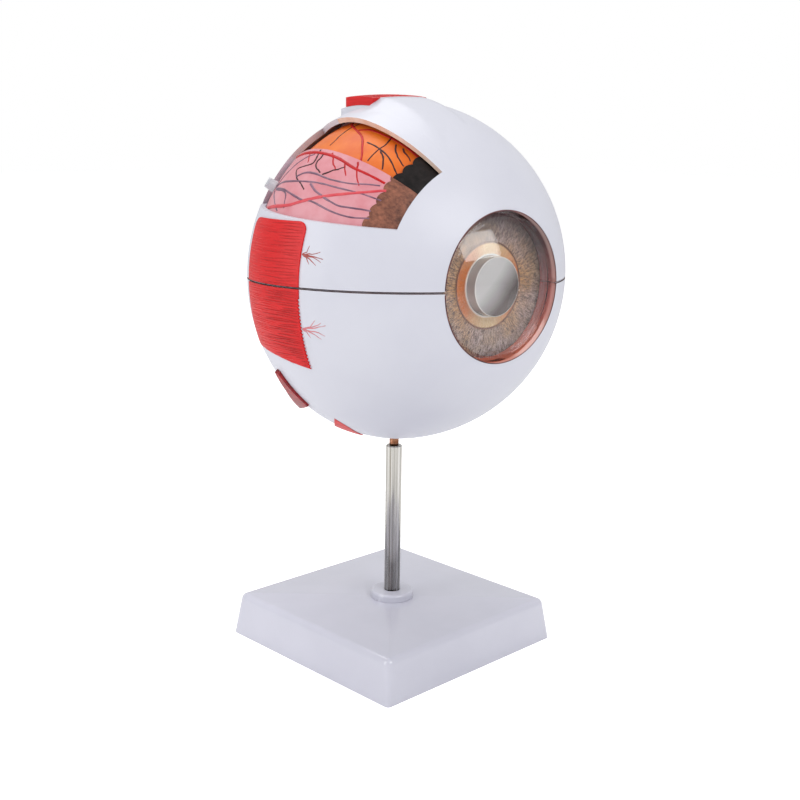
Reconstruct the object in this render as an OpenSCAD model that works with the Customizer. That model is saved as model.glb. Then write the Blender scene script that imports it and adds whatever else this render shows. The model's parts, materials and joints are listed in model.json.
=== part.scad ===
// Eye anatomy model, six times life size, on a square stand.
// Millimetres, +Z up. The origin is on the rod's axis, on the surface that the stand rests on.
// The eye looks along -Y. Angles on the ball: "ang" is measured from the gaze axis, "roll" turns
// about it, from the ball's lateral side (-X) up towards the top (+Z).

/* [Ball] */
// Radius of the front of the ball
ball_r = 75; // [68:0.5:84]
// Radius of the arc that turns the side of the ball into its flatter rear
side_r = 48; // [44:0.5:49]
// Angle in front of the equator where that arc begins
side_angle = 15; // [8:1:20]
// Depth of the rear half behind the rod's axis
rear_depth = 50; // [49.5:0.5:55]
// Wall of the white sclera shells
sclera_t = 2.2; // [2:0.1:3]
// Wall of the choroid liners
choroid_t = 1.6; // [1.4:0.1:2]
// Wall of the retina liners
retina_t = 1.6; // [1.4:0.1:2]
// Gap between the sclera and its loose liner
liner_gap = 0.3; // [0.2:0.05:0.6]
// Glue line between bonded layers
glue_gap = 0.1; // [0.05:0.01:0.2]
// Gap between the vitreous body and the retina
vitreous_gap = 0.7; // [0.65:0.05:1.2]

/* [Seam] */
// Gap between the rims of the two halves
seam_gap = 0.2; // [0.1:0.05:0.4]
// Width of the groove along the seam
groove_w = 0.9; // [0.6:0.1:1.4]
// Depth of the groove along the seam
groove_d = 0.4; // [0.2:0.1:0.8]
// Diameter of a locating peg
peg_d = 2.2; // [1.6:0.1:2.4]
// Height of a peg above the lower rim, and its depth below it
peg_h = 4; // [3:0.5:5]
// Distance of the rear pegs from the gaze axis
peg_rear_x = 16; // [12:1:24]
// Wall round a rear peg
peg_wall = 1.2; // [1:0.1:1.6]

/* [Cornea, iris and lens] */
// Radius of the opening in the front of the sclera
opening_r = 31; // [28:0.5:33]
// Thickness of the collar behind the opening
collar_t = 4; // [3:0.5:5]
// Radial width of the lip that the cornea seats on
lip_w = 1.4; // [1:0.1:2]
// Thickness of that lip
lip_t = 1; // [0.8:0.1:1.4]
// Distance from the ball's foremost point back to the face of the iris
iris_depth = 15; // [13:0.1:16]
// Thickness of the iris disc
iris_t = 2; // [1.5:0.1:2.5]
// How far the iris disc reaches under the collar
iris_rim = 4; // [3:0.1:4.4]
// Radius of the pupil
pupil_r = 12.4; // [10:0.2:14]
// Radius of curvature of the cornea's outside
cornea_curve_r = 46; // [40:1:60]
// Wall of the cornea
cornea_t = 1.6; // [1.2:0.1:2.2]
// Height of the cornea's straight skirt
skirt_h = 4.4; // [3:0.2:6]
// How far the lens stands out of the iris
lens_out = 4.8; // [3:0.2:6]
// Height of the domed faces of the lens
lens_sag = 1.5; // [1:0.1:2.5]
// Thickness of the ciliary ring
ring_t = 3.3; // [2.8:0.1:4]
// Radial width of the lip behind the lens
ring_lip_w = 1.4; // [1:0.1:2]
// Number of folds round the ciliary ring
ring_folds = 36; // [24:1:48]
// Depth of the dish in the front of the vitreous body
dish_d = 3; // [1:0.5:5]
// Radius of that dish
dish_r = 20; // [16:1:26]

/* [Window in the upper half] */
// Distance from the ball's foremost point back to the window's front edge
window_inset = 20; // [17:0.5:25]
// Rear edge of the window at its lower corner, behind the rod's axis
window_rear = 24; // [20:1:30]
// Slope of the rear edge, forwards towards the top
window_rear_slope = 16; // [8:1:20]
// Height of the lower edge above the seam, level with the rod's axis
window_low = 28.4; // [24:0.2:32]
// Slope of the lower edge, down towards the front
window_slope = 4.6; // [0:0.2:8]
// Roll angle of the upper edge
window_roll = 64; // [58:0.5:66]
// Roll angle where the choroid is cut away down to the retina
step_roll = 48.7; // [42:0.1:54]
// Distance from the ball's foremost point back to the front edge of that second cut
step_inset = 18; // [16:0.2:19]
// Depth to which the brown edge is let into the choroid
brown_t = 0.8; // [0.5:0.1:1]
// Height of the black edge above the retina
black_t = 1.4; // [0.8:0.1:1.6]

/* [Muscles and nerve] */
// Thickness of the lateral and medial rectus
side_muscle_t = 0.6; // [0.5:0.1:1.4]
// Thickness of the superior rectus over the rod's axis
top_muscle_t = 2.1; // [1.6:0.1:3]
// How much it thickens towards its cut rear end
top_muscle_rise = 3; // [2:0.1:5]
// Lateral edge of the superior rectus
top_muscle_lateral = 21; // [18:0.5:24]
// Medial edge of the superior rectus
top_muscle_medial = 8; // [7:0.5:16]
// Front edge of the superior rectus, in front of the rod's axis
top_muscle_front = 9; // [6:0.5:14]
// Cut rear end of the superior rectus, behind the rod's axis
top_muscle_rear = 13; // [10:0.5:16]
// Lateral edge of the white tendon band in front of the superior rectus, along its top
band_lateral = 17; // [14:0.5:20]
// Medial edge of that band, along its top
band_medial = 6; // [4:0.5:12]
// Thickness of the inferior rectus at its front
low_muscle_t = 0.8; // [0.5:0.1:1.4]
// How far the inferior rectus's outer face is set back against the ball, so that it thickens
low_muscle_shift = 3; // [1:0.1:5]
// Front edge of the lateral and medial rectus, in front of the rod's axis
side_muscle_front = 25.6; // [22:0.2:30]
// Cut rear end of the lateral and medial rectus, behind the rod's axis
side_muscle_rear = 9; // [6:1:14]
// Top edge of the lateral and medial rectus above the seam
side_muscle_top = 26; // [22:0.5:27]
// Lowest tip of the lateral and medial rectus below the seam
side_muscle_low = 33.6; // [30:0.2:36]
// Corner radius of the muscles
muscle_corner = 4; // [3:0.5:6]
// Number of teeth along the lower front edge of the lateral and medial rectus
tooth_count = 20; // [12:1:28]
// Height of the oblique muscles above the front radius of the ball
oblique_t = 0.3; // [0.2:0.05:1]
// Width of the oblique muscles at their narrow end
oblique_w = 2.2; // [1.6:0.1:3]
// Width of the oblique muscles at their cut end
oblique_cut_w = 12.9; // [9:0.1:15]
// Radius of the optic nerve
nerve_r = 12; // [9:0.5:14]
// Length of the optic nerve behind the ball
nerve_l = 22; // [14:1:30]
// Offset of the nerve towards the medial side
nerve_x = 12; // [6:1:16]
// Radius of the vessels in the nerve
nerve_vessel_r = 1.5; // [1:0.1:2]

/* [Stand] */
// Side of the square base at the bottom
base_w = 106.8; // [95:0.2:125]
// How much narrower the base is at the top
base_taper = 3.5; // [1:0.1:6]
// Height of the base
base_h = 20; // [19:0.5:26]
// Wall of the base
base_t = 2.6; // [2:0.1:3.5]
// Radius of the base's upper edges and corners
base_edge_r = 3.4; // [2.6:0.1:4]
// Turn of the base under the ball
base_turn = 5; // [-45:1:45]
// Thickness of the pad in the underside
pad_t = 2; // [1.5:0.1:2.5]
// Diameter of the rod
rod_d = 7.5; // [7:0.1:9]
// Length of the rod above the base
rod_l = 74.2; // [60:0.5:100]
// Diameter of the threaded end of the rod
thread_d = 6; // [5:0.1:6.4]
// Radius of the collar round the foot of the rod
foot_r = 10; // [8.5:0.1:12]
// Height of that collar
foot_h = 3.4; // [2.5:0.1:4.5]
// Diameter of the neck of the pin between rod and ball
neck_d = 4.1; // [3.8:0.1:5]
// Height of that neck
neck_h = 5.3; // [4:0.1:8]
// Diameter of the pin in the rod and in the bush
pin_d = 3.2; // [2.6:0.1:3.4]
// Depth of the pin in the rod
pin_depth = 18; // [12:1:24]
// Outer diameter of the bush in the ball
bush_d = 9; // [7:0.5:10]

/* [Hidden] */
$fn = 96;

far = 200;                    // reach of the cutting solids
fit = 0.05;                   // radial clearance of a pin in its hole
slide_gap = 0.3;              // clearance between pieces that lift past each other
face_gap = 0.2;               // clearance between flat faces that slide past each other
seat_gap = 0.05;              // clearance under a shoulder that rests on its seat

// Three tangent arcs make the ball's outline: the front about the ball's centre, the side
// about side_c, and the rear about a point on the gaze axis, rear_k in front of the centre.
side_c = [(ball_r - side_r) * cos(side_angle), -(ball_r - side_r) * sin(side_angle)];
rear_a = rear_depth - side_r;
rear_k = (side_c.x * side_c.x + side_c.y * side_c.y - rear_a * rear_a)
         / (2 * (rear_a - side_c.y));
rear_r = rear_depth + rear_k;
rear_turn = atan2(side_c.y + rear_k, side_c.x);
front_bands = 24;
side_bands = 16;
rear_bands = 10;

choroid_in = sclera_t + liner_gap;
retina_in = choroid_in + choroid_t + glue_gap;
vitreous_in = retina_in + retina_t + vitreous_gap;

bottom_flat = 0.2;            // height of the flat under the ball
bush_wall = 3.5;
boss_r = bush_d / 2 + bush_wall;
boss_top = ball_r - vitreous_in + slide_gap;
rod_top = base_h + rod_l;
ball_z = rod_top + neck_h + seat_gap + ball_r - bottom_flat;

top_bed = 0.3;                // depth of the superior rectus's bed under the ball's front radius
bed_edge = 0.5;               // how far the bed stands out beside the muscle
crown_r = 170;                // radius of the muscle's and the tendon's top surface across the ball
band_side_w = 17;             // width of the tendon band's sloping sides
band_side_h = 9.6;            // height of those sides

window_front = ball_r - window_inset;
step_front = ball_r - step_inset;
step_under = 8;               // how far the second cut runs on under the window's edges
brown_ang = 47.3;             // middle of the brown edge
brown_roll = 38.5;
brown_half = 15;              // half its length
brown_depth = 7.5;            // half its width
brown_lobe_r = 3.8;
black_ang = 47;               // middle of the black edge
black_roll = 59;
black_half = 13;
black_depth = 7;
black_lobe_r = 3.9;
vein_ang = 102.5;             // place of the vein stub
vein_roll = 34.6;
vein_lean = 12;
vein_r = 2.8;
vein_foot = ball_r - 10;      // its ends, measured from the ball's centre
vein_top = ball_r - 3.2;

tip_back = 2;                 // how far the side muscles' low tip lies behind their front edge
tooth_d = 0.7;                // depth of the teeth on that edge
low_edge_run = 18;            // place and rise of the bend in their lower edge
low_edge_rise = 3.4;
low_rear_rise = 6.1;          // rise of that edge at its rear end
// Corners of the inferior rectus seen from above, as parts of the ball's front radius
low_muscle_corners = [[-0.603, -0.2], [-0.49, -0.19], [-0.373, -0.14], [-0.133, 0.107],
                      [-0.155, 0.19], [-0.3, 0.2], [-0.485, -0.04]];
// Corners of the oblique muscles, in the same way, from the middle of the muscle
oblique_corners = [[-0.108, -0.068], [0.149, -0.0107], [0.157, -0.0107], [0.0107, 0.0347],
                   [-0.187, -0.068]];
oblique_roll = -40;

iris_front = ball_r - iris_depth;
iris_back = iris_front - iris_t;
iris_r = opening_r + iris_rim;
collar_end = iris_front + face_gap;
cornea_r = opening_r - slide_gap;
skirt_end = collar_end + lip_t + face_gap;
dome_start = skirt_end + skirt_h;
dome_c = dome_start - sqrt(cornea_curve_r * cornea_curve_r - cornea_r * cornea_r);
choroid_front = collar_end - 2 * face_gap;
retina_front = iris_back - slide_gap;
ring_inset = 3;
ring_r = iris_r - ring_inset;
ring_front = iris_back - glue_gap;
ring_back = ring_front - ring_t;
lens_r = pupil_r - glue_gap;
lens_front = iris_front + lens_out;
lens_back = ring_back + lens_sag;
vitreous_front = ring_back - slide_gap - face_gap;

rear_wall_r = rear_r - sclera_t - peg_d / 2 - peg_wall / 2;
peg_front = collar_end + 3;
peg_places = [
    [opening_r + collar_t / 2 + 0.2, -peg_front],
    [peg_rear_x, sqrt(rear_wall_r * rear_wall_r - peg_rear_x * peg_rear_x) - rear_k]];
peg_boss_r = peg_d / 2 + fit + peg_wall;

washer_t = 1.1;
nut_t = 4.8;
nut_w = 10;                   // across flats
boss_low = pad_t + 1 + nut_t + washer_t + 4 * seat_gap + 0.4;

// ---- shared shapes ----

function polar(r, a) = [r * cos(a), r * sin(a)];

function arc_points(c, r, a0, a1, n) = [for (i = [0 : n]) c + polar(r, a0 + (a1 - a0) * i / n)];

// The points of an arc without its first one.
function arc_rest(c, r, a0, a1, n) = [for (i = [1 : n]) c + polar(r, a0 + (a1 - a0) * i / n)];

// Half of the ball's outline, drawn in by t: x is the distance from the gaze axis, y runs
// rearwards.
module outline_half(t) {
    polygon(concat(
        arc_points([0, 0], ball_r - t, -90, -side_angle, front_bands),
        arc_rest(side_c, side_r - t, -side_angle, rear_turn, side_bands),
        arc_rest([0, -rear_k], rear_r - t, rear_turn, 90, rear_bands)));
}

// The ball, drawn in by t. Its seam line is turned away from the cut between the halves.
module ball(t) {
    rotate([-90, 0, 0]) rotate([0, 0, 73]) rotate_extrude($fn = 180) outline_half(t);
}

module ball_wall(outer, inner) {
    difference() {
        ball(outer);
        ball(inner);
    }
}

module above(z) {
    translate([-far, -far, z]) cube([2 * far, 2 * far, far]);
}

module below(z) {
    translate([-far, -far, z - far]) cube([2 * far, 2 * far, far]);
}

// A round bar along the gaze axis, from front to back, both measured forwards of the centre.
module gaze_rod(r, front, back) {
    translate([0, -back, 0]) rotate([90, 0, 0]) cylinder(r = r, h = front - back);
}

// The space between two planes across the gaze axis.
module gaze_slab(front, back) {
    translate([-far, -front, -far]) cube([2 * far, front - back, 2 * far]);
}

// The space on the near side of a plane through the gaze axis, below the roll angle.
module roll_below(roll) {
    rotate([0, roll, 0]) translate([-far, -far, -far]) cube([2 * far, 2 * far, far]);
}

module turned_sphere(r) {
    rotate([17, 0, 0]) sphere(r, $fn = 180);
}

// Local +Z points out of the ball at ang and roll, +Y rearwards, +X towards a larger roll.
module at_ball(ang, roll) {
    rotate([0, roll, 0]) rotate([0, 0, 90 - ang]) rotate([0, -90, 0]) children();
}

module on_ball() {
    translate([0, 0, ball_z]) children();
}

module seam_groove() {
    translate([0, 0, -groove_w / 2]) linear_extrude(groove_w) {
        for (side = [0, 1]) mirror([side, 0]) difference() {
            polygon([[0, -far], [far, -far], [far, far], [0, far]]);
            outline_half(groove_d);
        }
    }
}

module peg_holes() {
    for (side = [0, 1], p = peg_places) mirror([side, 0, 0]) translate([p.x, p.y, 0])
        cylinder(r = peg_d / 2 + fit, h = 2 * peg_h + 1, center = true, $fn = 32);
}

// Upright bosses inside the rear wall that hold the rear pegs.
module peg_bosses(grow, h) {
    for (side = [0, 1]) mirror([side, 0, 0]) translate([peg_places[1].x, peg_places[1].y, 0])
        cylinder(r = peg_boss_r + grow, h = h, center = true);
}

// ---- sclera ----

// Fall of a muscle's top surface at a distance from its middle.
function crown_drop(half) = half * half / (2 * crown_r);

// Half outline of a wheel about the axis across the ball: x is the radius, y the place along
// that axis.
module crown_outline(half) {
    polygon([[0, 0], [ball_r, 0], [ball_r - crown_drop(half / 2), half / 2],
             [ball_r - crown_drop(half), half], [0, half]]);
}

module across_ball(t) {
    translate([0, top_muscle_rise, t]) rotate([0, 90, 0]) children();
}

// Outer surface of the superior rectus and of the tendon in front of it.
module muscle_top(t, lateral, medial) {
    across_ball(t) rotate_extrude($fn = 180) crown_outline(medial);
    across_ball(t) mirror([0, 0, 1]) rotate_extrude($fn = 180) crown_outline(lateral);
}

// Sloping side of the tendon band, outwards from its top edge.
module band_side(top_edge) {
    r = ball_r - crown_drop(top_edge);
    translate([0, 0, top_edge]) cylinder(r1 = r, r2 = r - band_side_h, h = band_side_w);
}

// Raised bed of the superior rectus, with the tendon band in front of it.
module top_bed_form() {
    t = top_muscle_t - top_bed;
    intersection() {
        union() {
            muscle_top(t, band_lateral, band_medial);
            across_ball(t) band_side(band_medial);
            across_ball(t) mirror([0, 0, 1]) band_side(band_lateral);
        }
        above(0);
        gaze_slab(ball_r, top_muscle_front);
    }
    intersection() {
        turned_sphere(ball_r - top_bed);
        translate([-top_muscle_lateral - bed_edge, -top_muscle_front - 1, 0])
            cube([top_muscle_lateral + top_muscle_medial + 2 * bed_edge,
                  top_muscle_rear + top_muscle_front + 1, far]);
    }
}

// The whole white shell before it is parted: wall, muscle beds, collar and bosses.
module sclera_form() {
    difference() {
        union() {
            ball(0);
            top_bed_form();
        }
        difference() {
            ball(sclera_t);
            gaze_rod(opening_r + collar_t, far, collar_end);
            peg_bosses(0, 2 * peg_h + 4);
        }
        gaze_rod(opening_r, far, collar_end + lip_t);
        gaze_rod(opening_r - lip_w, far, 0);
    }
}

// The window, between a front plane, a sloping rear plane, the lower plane and the upper roll
// plane.
module window_cut() {
    intersection() {
        gaze_slab(window_front, -far);
        roll_below(window_roll);
        translate([0, window_rear, window_low]) rotate([90 + window_rear_slope, 0, 0]) above(0);
        translate([0, 0, window_low]) rotate([window_slope, 0, 0]) above(0);
        translate([-far, -far, 0]) cube([far, 2 * far, far]);
    }
}

module sclera_upper() {
    color("whitesmoke") on_ball() difference() {
        intersection() {
            sclera_form();
            above(seam_gap / 2);
        }
        seam_groove();
        peg_holes();
        window_cut();
    }
}

module sclera_lower() {
    color("whitesmoke") on_ball() difference() {
        union() {
            difference() {
                intersection() {
                    sclera_form();
                    below(-seam_gap / 2);
                }
                seam_groove();
            }
            intersection() {
                ball(sclera_t / 2);
                translate([0, 0, -ball_r]) cylinder(r = boss_r, h = ball_r - boss_top);
            }
        }
        peg_holes();
        below(-ball_r + bottom_flat);
        translate([0, 0, -ball_r - 1]) cylinder(r = bush_d / 2 + glue_gap, h = far / 20);
    }
}

module locating_pegs() {
    color("lightgrey") on_ball() for (side = [0, 1], p = peg_places) mirror([side, 0, 0])
        translate([p.x, p.y, 0]) cylinder(r = peg_d / 2, h = 2 * peg_h, center = true, $fn = 32);
}

// ---- liners ----

module boss_hole() {
    translate([0, 0, -far]) cylinder(r = boss_r + slide_gap, h = far);
}

module choroid_form() {
    difference() {
        ball_wall(choroid_in, choroid_in + choroid_t);
        peg_bosses(slide_gap, far);
        gaze_slab(far, choroid_front);
        gaze_rod(iris_r + slide_gap, far, 0);
    }
}

module retina_form() {
    difference() {
        ball_wall(retina_in, retina_in + retina_t);
        peg_bosses(slide_gap, far);
        gaze_slab(far, retina_front);
        gaze_rod(ring_r + slide_gap, far, 0);
    }
}

module choroid_lower() {
    color("firebrick") on_ball() difference() {
        intersection() {
            choroid_form();
            below(-seam_gap / 2);
        }
        boss_hole();
    }
}

module retina_lower() {
    color("darkorange") on_ball() difference() {
        intersection() {
            retina_form();
            below(-seam_gap / 2);
        }
        boss_hole();
    }
}

// The second, smaller cut that lays the retina bare.
module step_cut() {
    intersection() {
        gaze_slab(step_front, -window_rear - step_under);
        roll_below(window_roll + step_under);
        rotate([0, step_roll, 0]) above(0);
        translate([-far, -far, 0]) cube([far, 2 * far, far]);
    }
}

// Scalloped patch: a band with a row of lobes along its rear edge. x runs with the roll,
// y rearwards from the window's front edge.
module scallops(half, depth, lobes, lobe_r) {
    pitch = (2 * half - 2 * lobe_r) / (lobes - 1);
    translate([-half, -depth]) square([2 * half, 2 * depth - lobe_r * 0.6]);
    for (i = [0 : lobes - 1])
        translate([-half + lobe_r + i * pitch, depth - lobe_r]) circle(lobe_r, $fn = 40);
}

module brown_outline(grow) {
    at_ball(brown_ang, brown_roll) linear_extrude(far)
        scallops(brown_half + grow, brown_depth + grow, 5, brown_lobe_r + grow);
}

module choroid_upper() {
    color("lightpink") on_ball() difference() {
        intersection() {
            choroid_form();
            above(seam_gap / 2);
        }
        step_cut();
        difference() {
            brown_outline(glue_gap);
            ball(choroid_in + brown_t);
        }
    }
}

module brown_edge() {
    color("saddlebrown") on_ball() difference() {
        intersection() {
            ball_wall(choroid_in, choroid_in + brown_t - glue_gap);
            brown_outline(0);
        }
        rotate([0, step_roll, 0]) above(-glue_gap);
        gaze_slab(far, window_front);
    }
}

module retina_upper() {
    color("orange") on_ball() intersection() {
        retina_form();
        above(seam_gap / 2);
    }
}

module black_edge() {
    color("black") on_ball() intersection() {
        ball_wall(retina_in - glue_gap - black_t, retina_in - glue_gap);
        at_ball(black_ang, black_roll) linear_extrude(far)
            scallops(black_half, black_depth, 4, black_lobe_r);
        gaze_slab(step_front - glue_gap, -far);
        rotate([0, step_roll, 0]) above(glue_gap);
        roll_below(window_roll + step_under - 2);
    }
}

// Stub of a vortex vein, at the window's rear edge, where the painted veins meet.
module vein_stub() {
    color("lightgrey") on_ball() difference() {
        at_ball(vein_ang, vein_roll) translate([0, 0, vein_foot]) rotate([-vein_lean, 0, 0])
            cylinder(r1 = vein_r, r2 = vein_r - 0.5, h = vein_top - vein_foot);
        ball(choroid_in - glue_gap);
    }
}

// ---- muscles and nerve ----

// Outline of the lateral rectus seen from the side: x runs rearwards, y up.
module side_muscle_outline() {
    front = -side_muscle_front;
    tip = [front + tip_back, -side_muscle_low];
    tooth = (side_muscle_low - muscle_corner) / tooth_count;
    corner = [front + muscle_corner, side_muscle_top - muscle_corner];
    polygon(concat(
        [for (a = [0 : 15 : 90])
            [side_muscle_rear - muscle_corner, side_muscle_top - muscle_corner]
            + polar(muscle_corner, a)],
        [for (a = [90 : 15 : 180]) corner + polar(muscle_corner, a)],
        [for (i = [0 : 2 * tooth_count - 1])
            let (z = -muscle_corner - i * tooth / 2)
            [front + tip_back * pow(i / (2 * tooth_count), 2) + (i % 2) * tooth_d, z]],
        [tip, [front + low_edge_run, -side_muscle_low + low_edge_rise],
         [side_muscle_rear, -side_muscle_low + low_rear_rise]]));
}

module side_muscle(side) {
    mirror([side, 0, 0]) intersection() {
        difference() {
            ball(-side_muscle_t);
            ball(-glue_gap);
        }
        translate([-far, 0, 0]) rotate([90, 0, 90]) linear_extrude(far) side_muscle_outline();
    }
}

module lateral_rectus_upper() {
    color("crimson") on_ball() intersection() {
        side_muscle(0);
        above(groove_w / 2);
    }
}

module lateral_rectus_lower() {
    color("crimson") on_ball() intersection() {
        side_muscle(0);
        below(-groove_w / 2);
    }
}

module medial_rectus_upper() {
    color("crimson") on_ball() intersection() {
        side_muscle(1);
        above(groove_w / 2);
    }
}

module medial_rectus_lower() {
    color("crimson") on_ball() intersection() {
        side_muscle(1);
        below(-groove_w / 2);
    }
}

// Outline of the superior rectus seen from above, with rounded rear corners.
module top_muscle_outline() {
    c = muscle_corner;
    left = -top_muscle_lateral;
    right = top_muscle_medial;
    front = glue_gap - top_muscle_front;
    polygon(concat(
        [for (a = [0 : 15 : 90]) [right - c, top_muscle_rear - c] + polar(c, a)],
        [for (a = [90 : 15 : 180]) [left + c, top_muscle_rear - c] + polar(c, a)],
        [[left, front], [right, front]]));
}

module superior_rectus() {
    color("crimson") on_ball() intersection() {
        difference() {
            muscle_top(top_muscle_t - top_bed, top_muscle_lateral, top_muscle_medial);
            turned_sphere(ball_r - top_bed + glue_gap);
        }
        linear_extrude(far) top_muscle_outline();
    }
}

// Slanting band under the ball, beside the pin, thicker towards its cut rear end.
module inferior_rectus() {
    color("crimson") on_ball() difference() {
        intersection() {
            translate([0, 0, -far]) linear_extrude(far)
                polygon([for (corner = low_muscle_corners) ball_r * corner]);
            translate([0, low_muscle_shift, -low_muscle_t]) ball(0);
        }
        ball(-glue_gap);
    }
}

// Band that is narrow at its upper end and cut off at its lower one.
module oblique() {
    c = [for (corner = oblique_corners) ball_r * corner];
    intersection() {
        difference() {
            turned_sphere(ball_r + oblique_t);
            ball(-glue_gap);
        }
        at_ball(90, oblique_roll) linear_extrude(far)
            polygon([c[0], c[1], c[2] + [0, oblique_w], c[3], c[4] + [0, oblique_cut_w]]);
    }
}

module inferior_oblique() {
    color("firebrick") on_ball() oblique();
}

module superior_oblique() {
    color("firebrick") on_ball() rotate([0, 180, 0]) oblique();
}

module nerve_place() {
    translate([nerve_x, 0, 0]) children();
}

module optic_nerve() {
    color("moccasin") on_ball() nerve_place() difference() {
        union() {
            gaze_rod(nerve_r, -rear_depth - slide_gap, -rear_depth - nerve_l);
            intersection() {
                gaze_rod(nerve_r, -side_r / 2, -rear_depth - 1);
                below(-seam_gap / 2);
                translate([-nerve_x, 0, 0]) difference() {
                    gaze_slab(0, -far);
                    ball(-glue_gap);
                }
            }
        }
        gaze_rod(nerve_r - 2.4, -rear_depth - nerve_l + 1.2, -rear_depth - nerve_l - 1);
        for (side = [-1, 1]) translate([side * 3, 0, 0])
            gaze_rod(nerve_vessel_r + fit, -rear_depth - nerve_l + 8, -far);
    }
}

module nerve_vessels() {
    color("red") on_ball() nerve_place() for (side = [-1, 1]) translate([side * 3, 0, 0])
        gaze_rod(nerve_vessel_r, -rear_depth - nerve_l + 8 - seat_gap, -rear_depth - nerve_l + 0.2);
}

// ---- front of the eye ----

// Half outline of the cornea: x from the gaze axis, y forwards.
module cornea_half() {
    difference() {
        union() {
            translate([0, skirt_end]) square([cornea_r, skirt_h]);
            intersection() {
                translate([0, dome_c]) circle(cornea_curve_r, $fn = 180);
                translate([0, dome_start]) square([cornea_r, far]);
            }
        }
        translate([0, skirt_end - 1]) square([cornea_r - cornea_t, skirt_h + 1]);
        intersection() {
            translate([0, dome_c]) circle(cornea_curve_r - cornea_t, $fn = 180);
            translate([0, skirt_end]) square([cornea_r - cornea_t, far]);
        }
    }
}

module cornea() {
    color("lightcyan", 0.4) on_ball() rotate([90, 0, 0]) rotate_extrude($fn = 180) cornea_half();
}

module iris() {
    color("peru") on_ball() difference() {
        gaze_rod(iris_r, iris_front, iris_back);
        gaze_rod(pupil_r, far, 0);
    }
}

module ciliary_ring() {
    fold_w = 2 * PI * ring_r / ring_folds / 3;
    color("saddlebrown") on_ball() difference() {
        gaze_rod(ring_r, ring_front, ring_back);
        gaze_rod(pupil_r, far, ring_back + 1);
        gaze_rod(pupil_r - ring_lip_w, far, 0);
        for (i = [0 : ring_folds - 1]) rotate([0, (i + 0.5) * 360 / ring_folds, 0])
            translate([pupil_r + 2, -ring_back - 0.9, -fold_w / 2])
                cube([ring_r - pupil_r - 4, far, fold_w]);
    }
}

// A cap of height lens_sag on a disc of radius lens_r lies on a sphere of this radius.
lens_curve_r = (lens_r * lens_r + lens_sag * lens_sag) / (2 * lens_sag);

module lens() {
    color("lightcyan", 0.5) on_ball() intersection() {
        gaze_rod(lens_r, lens_front + lens_sag + 1, lens_back - lens_sag - 1);
        translate([0, -lens_front - lens_sag + lens_curve_r, 0])
            rotate([17, 0, 31]) sphere(lens_curve_r, $fn = 180);
        translate([0, -lens_back + lens_sag + glue_gap - lens_curve_r, 0])
            rotate([17, 0, 31]) sphere(lens_curve_r, $fn = 180);
    }
}

module vitreous_body() {
    dish_curve_r = (dish_r * dish_r + dish_d * dish_d) / (2 * dish_d);
    color("aliceblue", 0.4) on_ball() difference() {
        ball(vitreous_in);
        gaze_slab(far, vitreous_front);
        translate([0, -vitreous_front - dish_curve_r + dish_d, 0])
            rotate([17, 0, 31]) sphere(dish_curve_r, $fn = 180);
    }
}

// ---- stand ----

// Outer form of the base: rounded upper edges, tapered sides.
module base_form() {
    top = (base_w - base_taper) / 2 - base_edge_r;
    low = base_w / 2 - base_edge_r / 2;
    hull() for (sx = [-1, 1], sy = [-1, 1]) {
        translate([sx * low, sy * low, 0]) cylinder(r = base_edge_r / 2, h = 0.4, $fn = 32);
        translate([sx * top, sy * top, base_h - base_edge_r]) sphere(base_edge_r, $fn = 32);
    }
}

// Hollow inside the base, open below.
module base_hollow() {
    low = base_w - 2 * base_t;
    top = base_w - base_taper - 2 * base_t - 1;
    hull() {
        translate([-low / 2, -low / 2, -1]) cube([low, low, 1]);
        translate([-top / 2, -top / 2, base_h - base_t - 0.1]) cube([top, top, 0.1]);
    }
}

module base_shell() {
    rib_l = base_w * 1.3;
    color("ghostwhite") rotate([0, 0, base_turn]) difference() {
        union() {
            difference() {
                base_form();
                base_hollow();
            }
            translate([0, 0, boss_low]) cylinder(r = foot_r, h = base_h - base_t / 2 - boss_low);
            intersection() {
                base_form();
                for (a = [45, 135]) rotate([0, 0, a])
                    translate([-rib_l / 2, -1, pad_t + seat_gap])
                        cube([rib_l, 2, base_h - base_t - pad_t]);
            }
        }
        translate([0, 0, -1]) cylinder(r = nut_w * 0.8, h = boss_low + 1);
        translate([0, 0, -1]) cylinder(r = thread_d / 2 + 2 * fit, h = base_h + 2);
    }
}

module base_pad() {
    side = base_w - 2 * base_t - 2 * slide_gap - base_taper * pad_t / base_h;
    color("dimgrey") rotate([0, 0, base_turn]) translate([-side / 2, -side / 2, 0])
        cube([side, side, pad_t]);
}

module rod_foot() {
    r = 1.2;
    color("ghostwhite") translate([0, 0, base_h + seat_gap]) rotate_extrude() difference() {
        union() {
            square([foot_r - r, foot_h]);
            square([foot_r, foot_h - r]);
            translate([foot_r - r, foot_h - r]) circle(r, $fn = 40);
        }
        translate([-foot_r, -1]) square([foot_r + rod_d / 2 + fit, foot_h + 2]);
    }
}

module rod() {
    bevel = 0.5;
    color("silver") difference() {
        union() {
            translate([0, 0, base_h + seat_gap]) cylinder(d = rod_d, h = rod_l - bevel - seat_gap);
            translate([0, 0, rod_top - bevel])
                cylinder(d1 = rod_d, d2 = rod_d - 2 * bevel, h = bevel);
            translate([0, 0, pad_t + 1]) cylinder(d = thread_d, h = base_h);
        }
        translate([0, 0, rod_top - pin_depth - 1]) cylinder(r = pin_d / 2 + fit, h = far);
    }
}

module rod_washer() {
    color("silver") translate([0, 0, boss_low - seat_gap - washer_t]) difference() {
        cylinder(r = nut_w * 0.65, h = washer_t);
        translate([0, 0, -1]) cylinder(r = thread_d / 2 + fit, h = washer_t + 2);
    }
}

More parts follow.
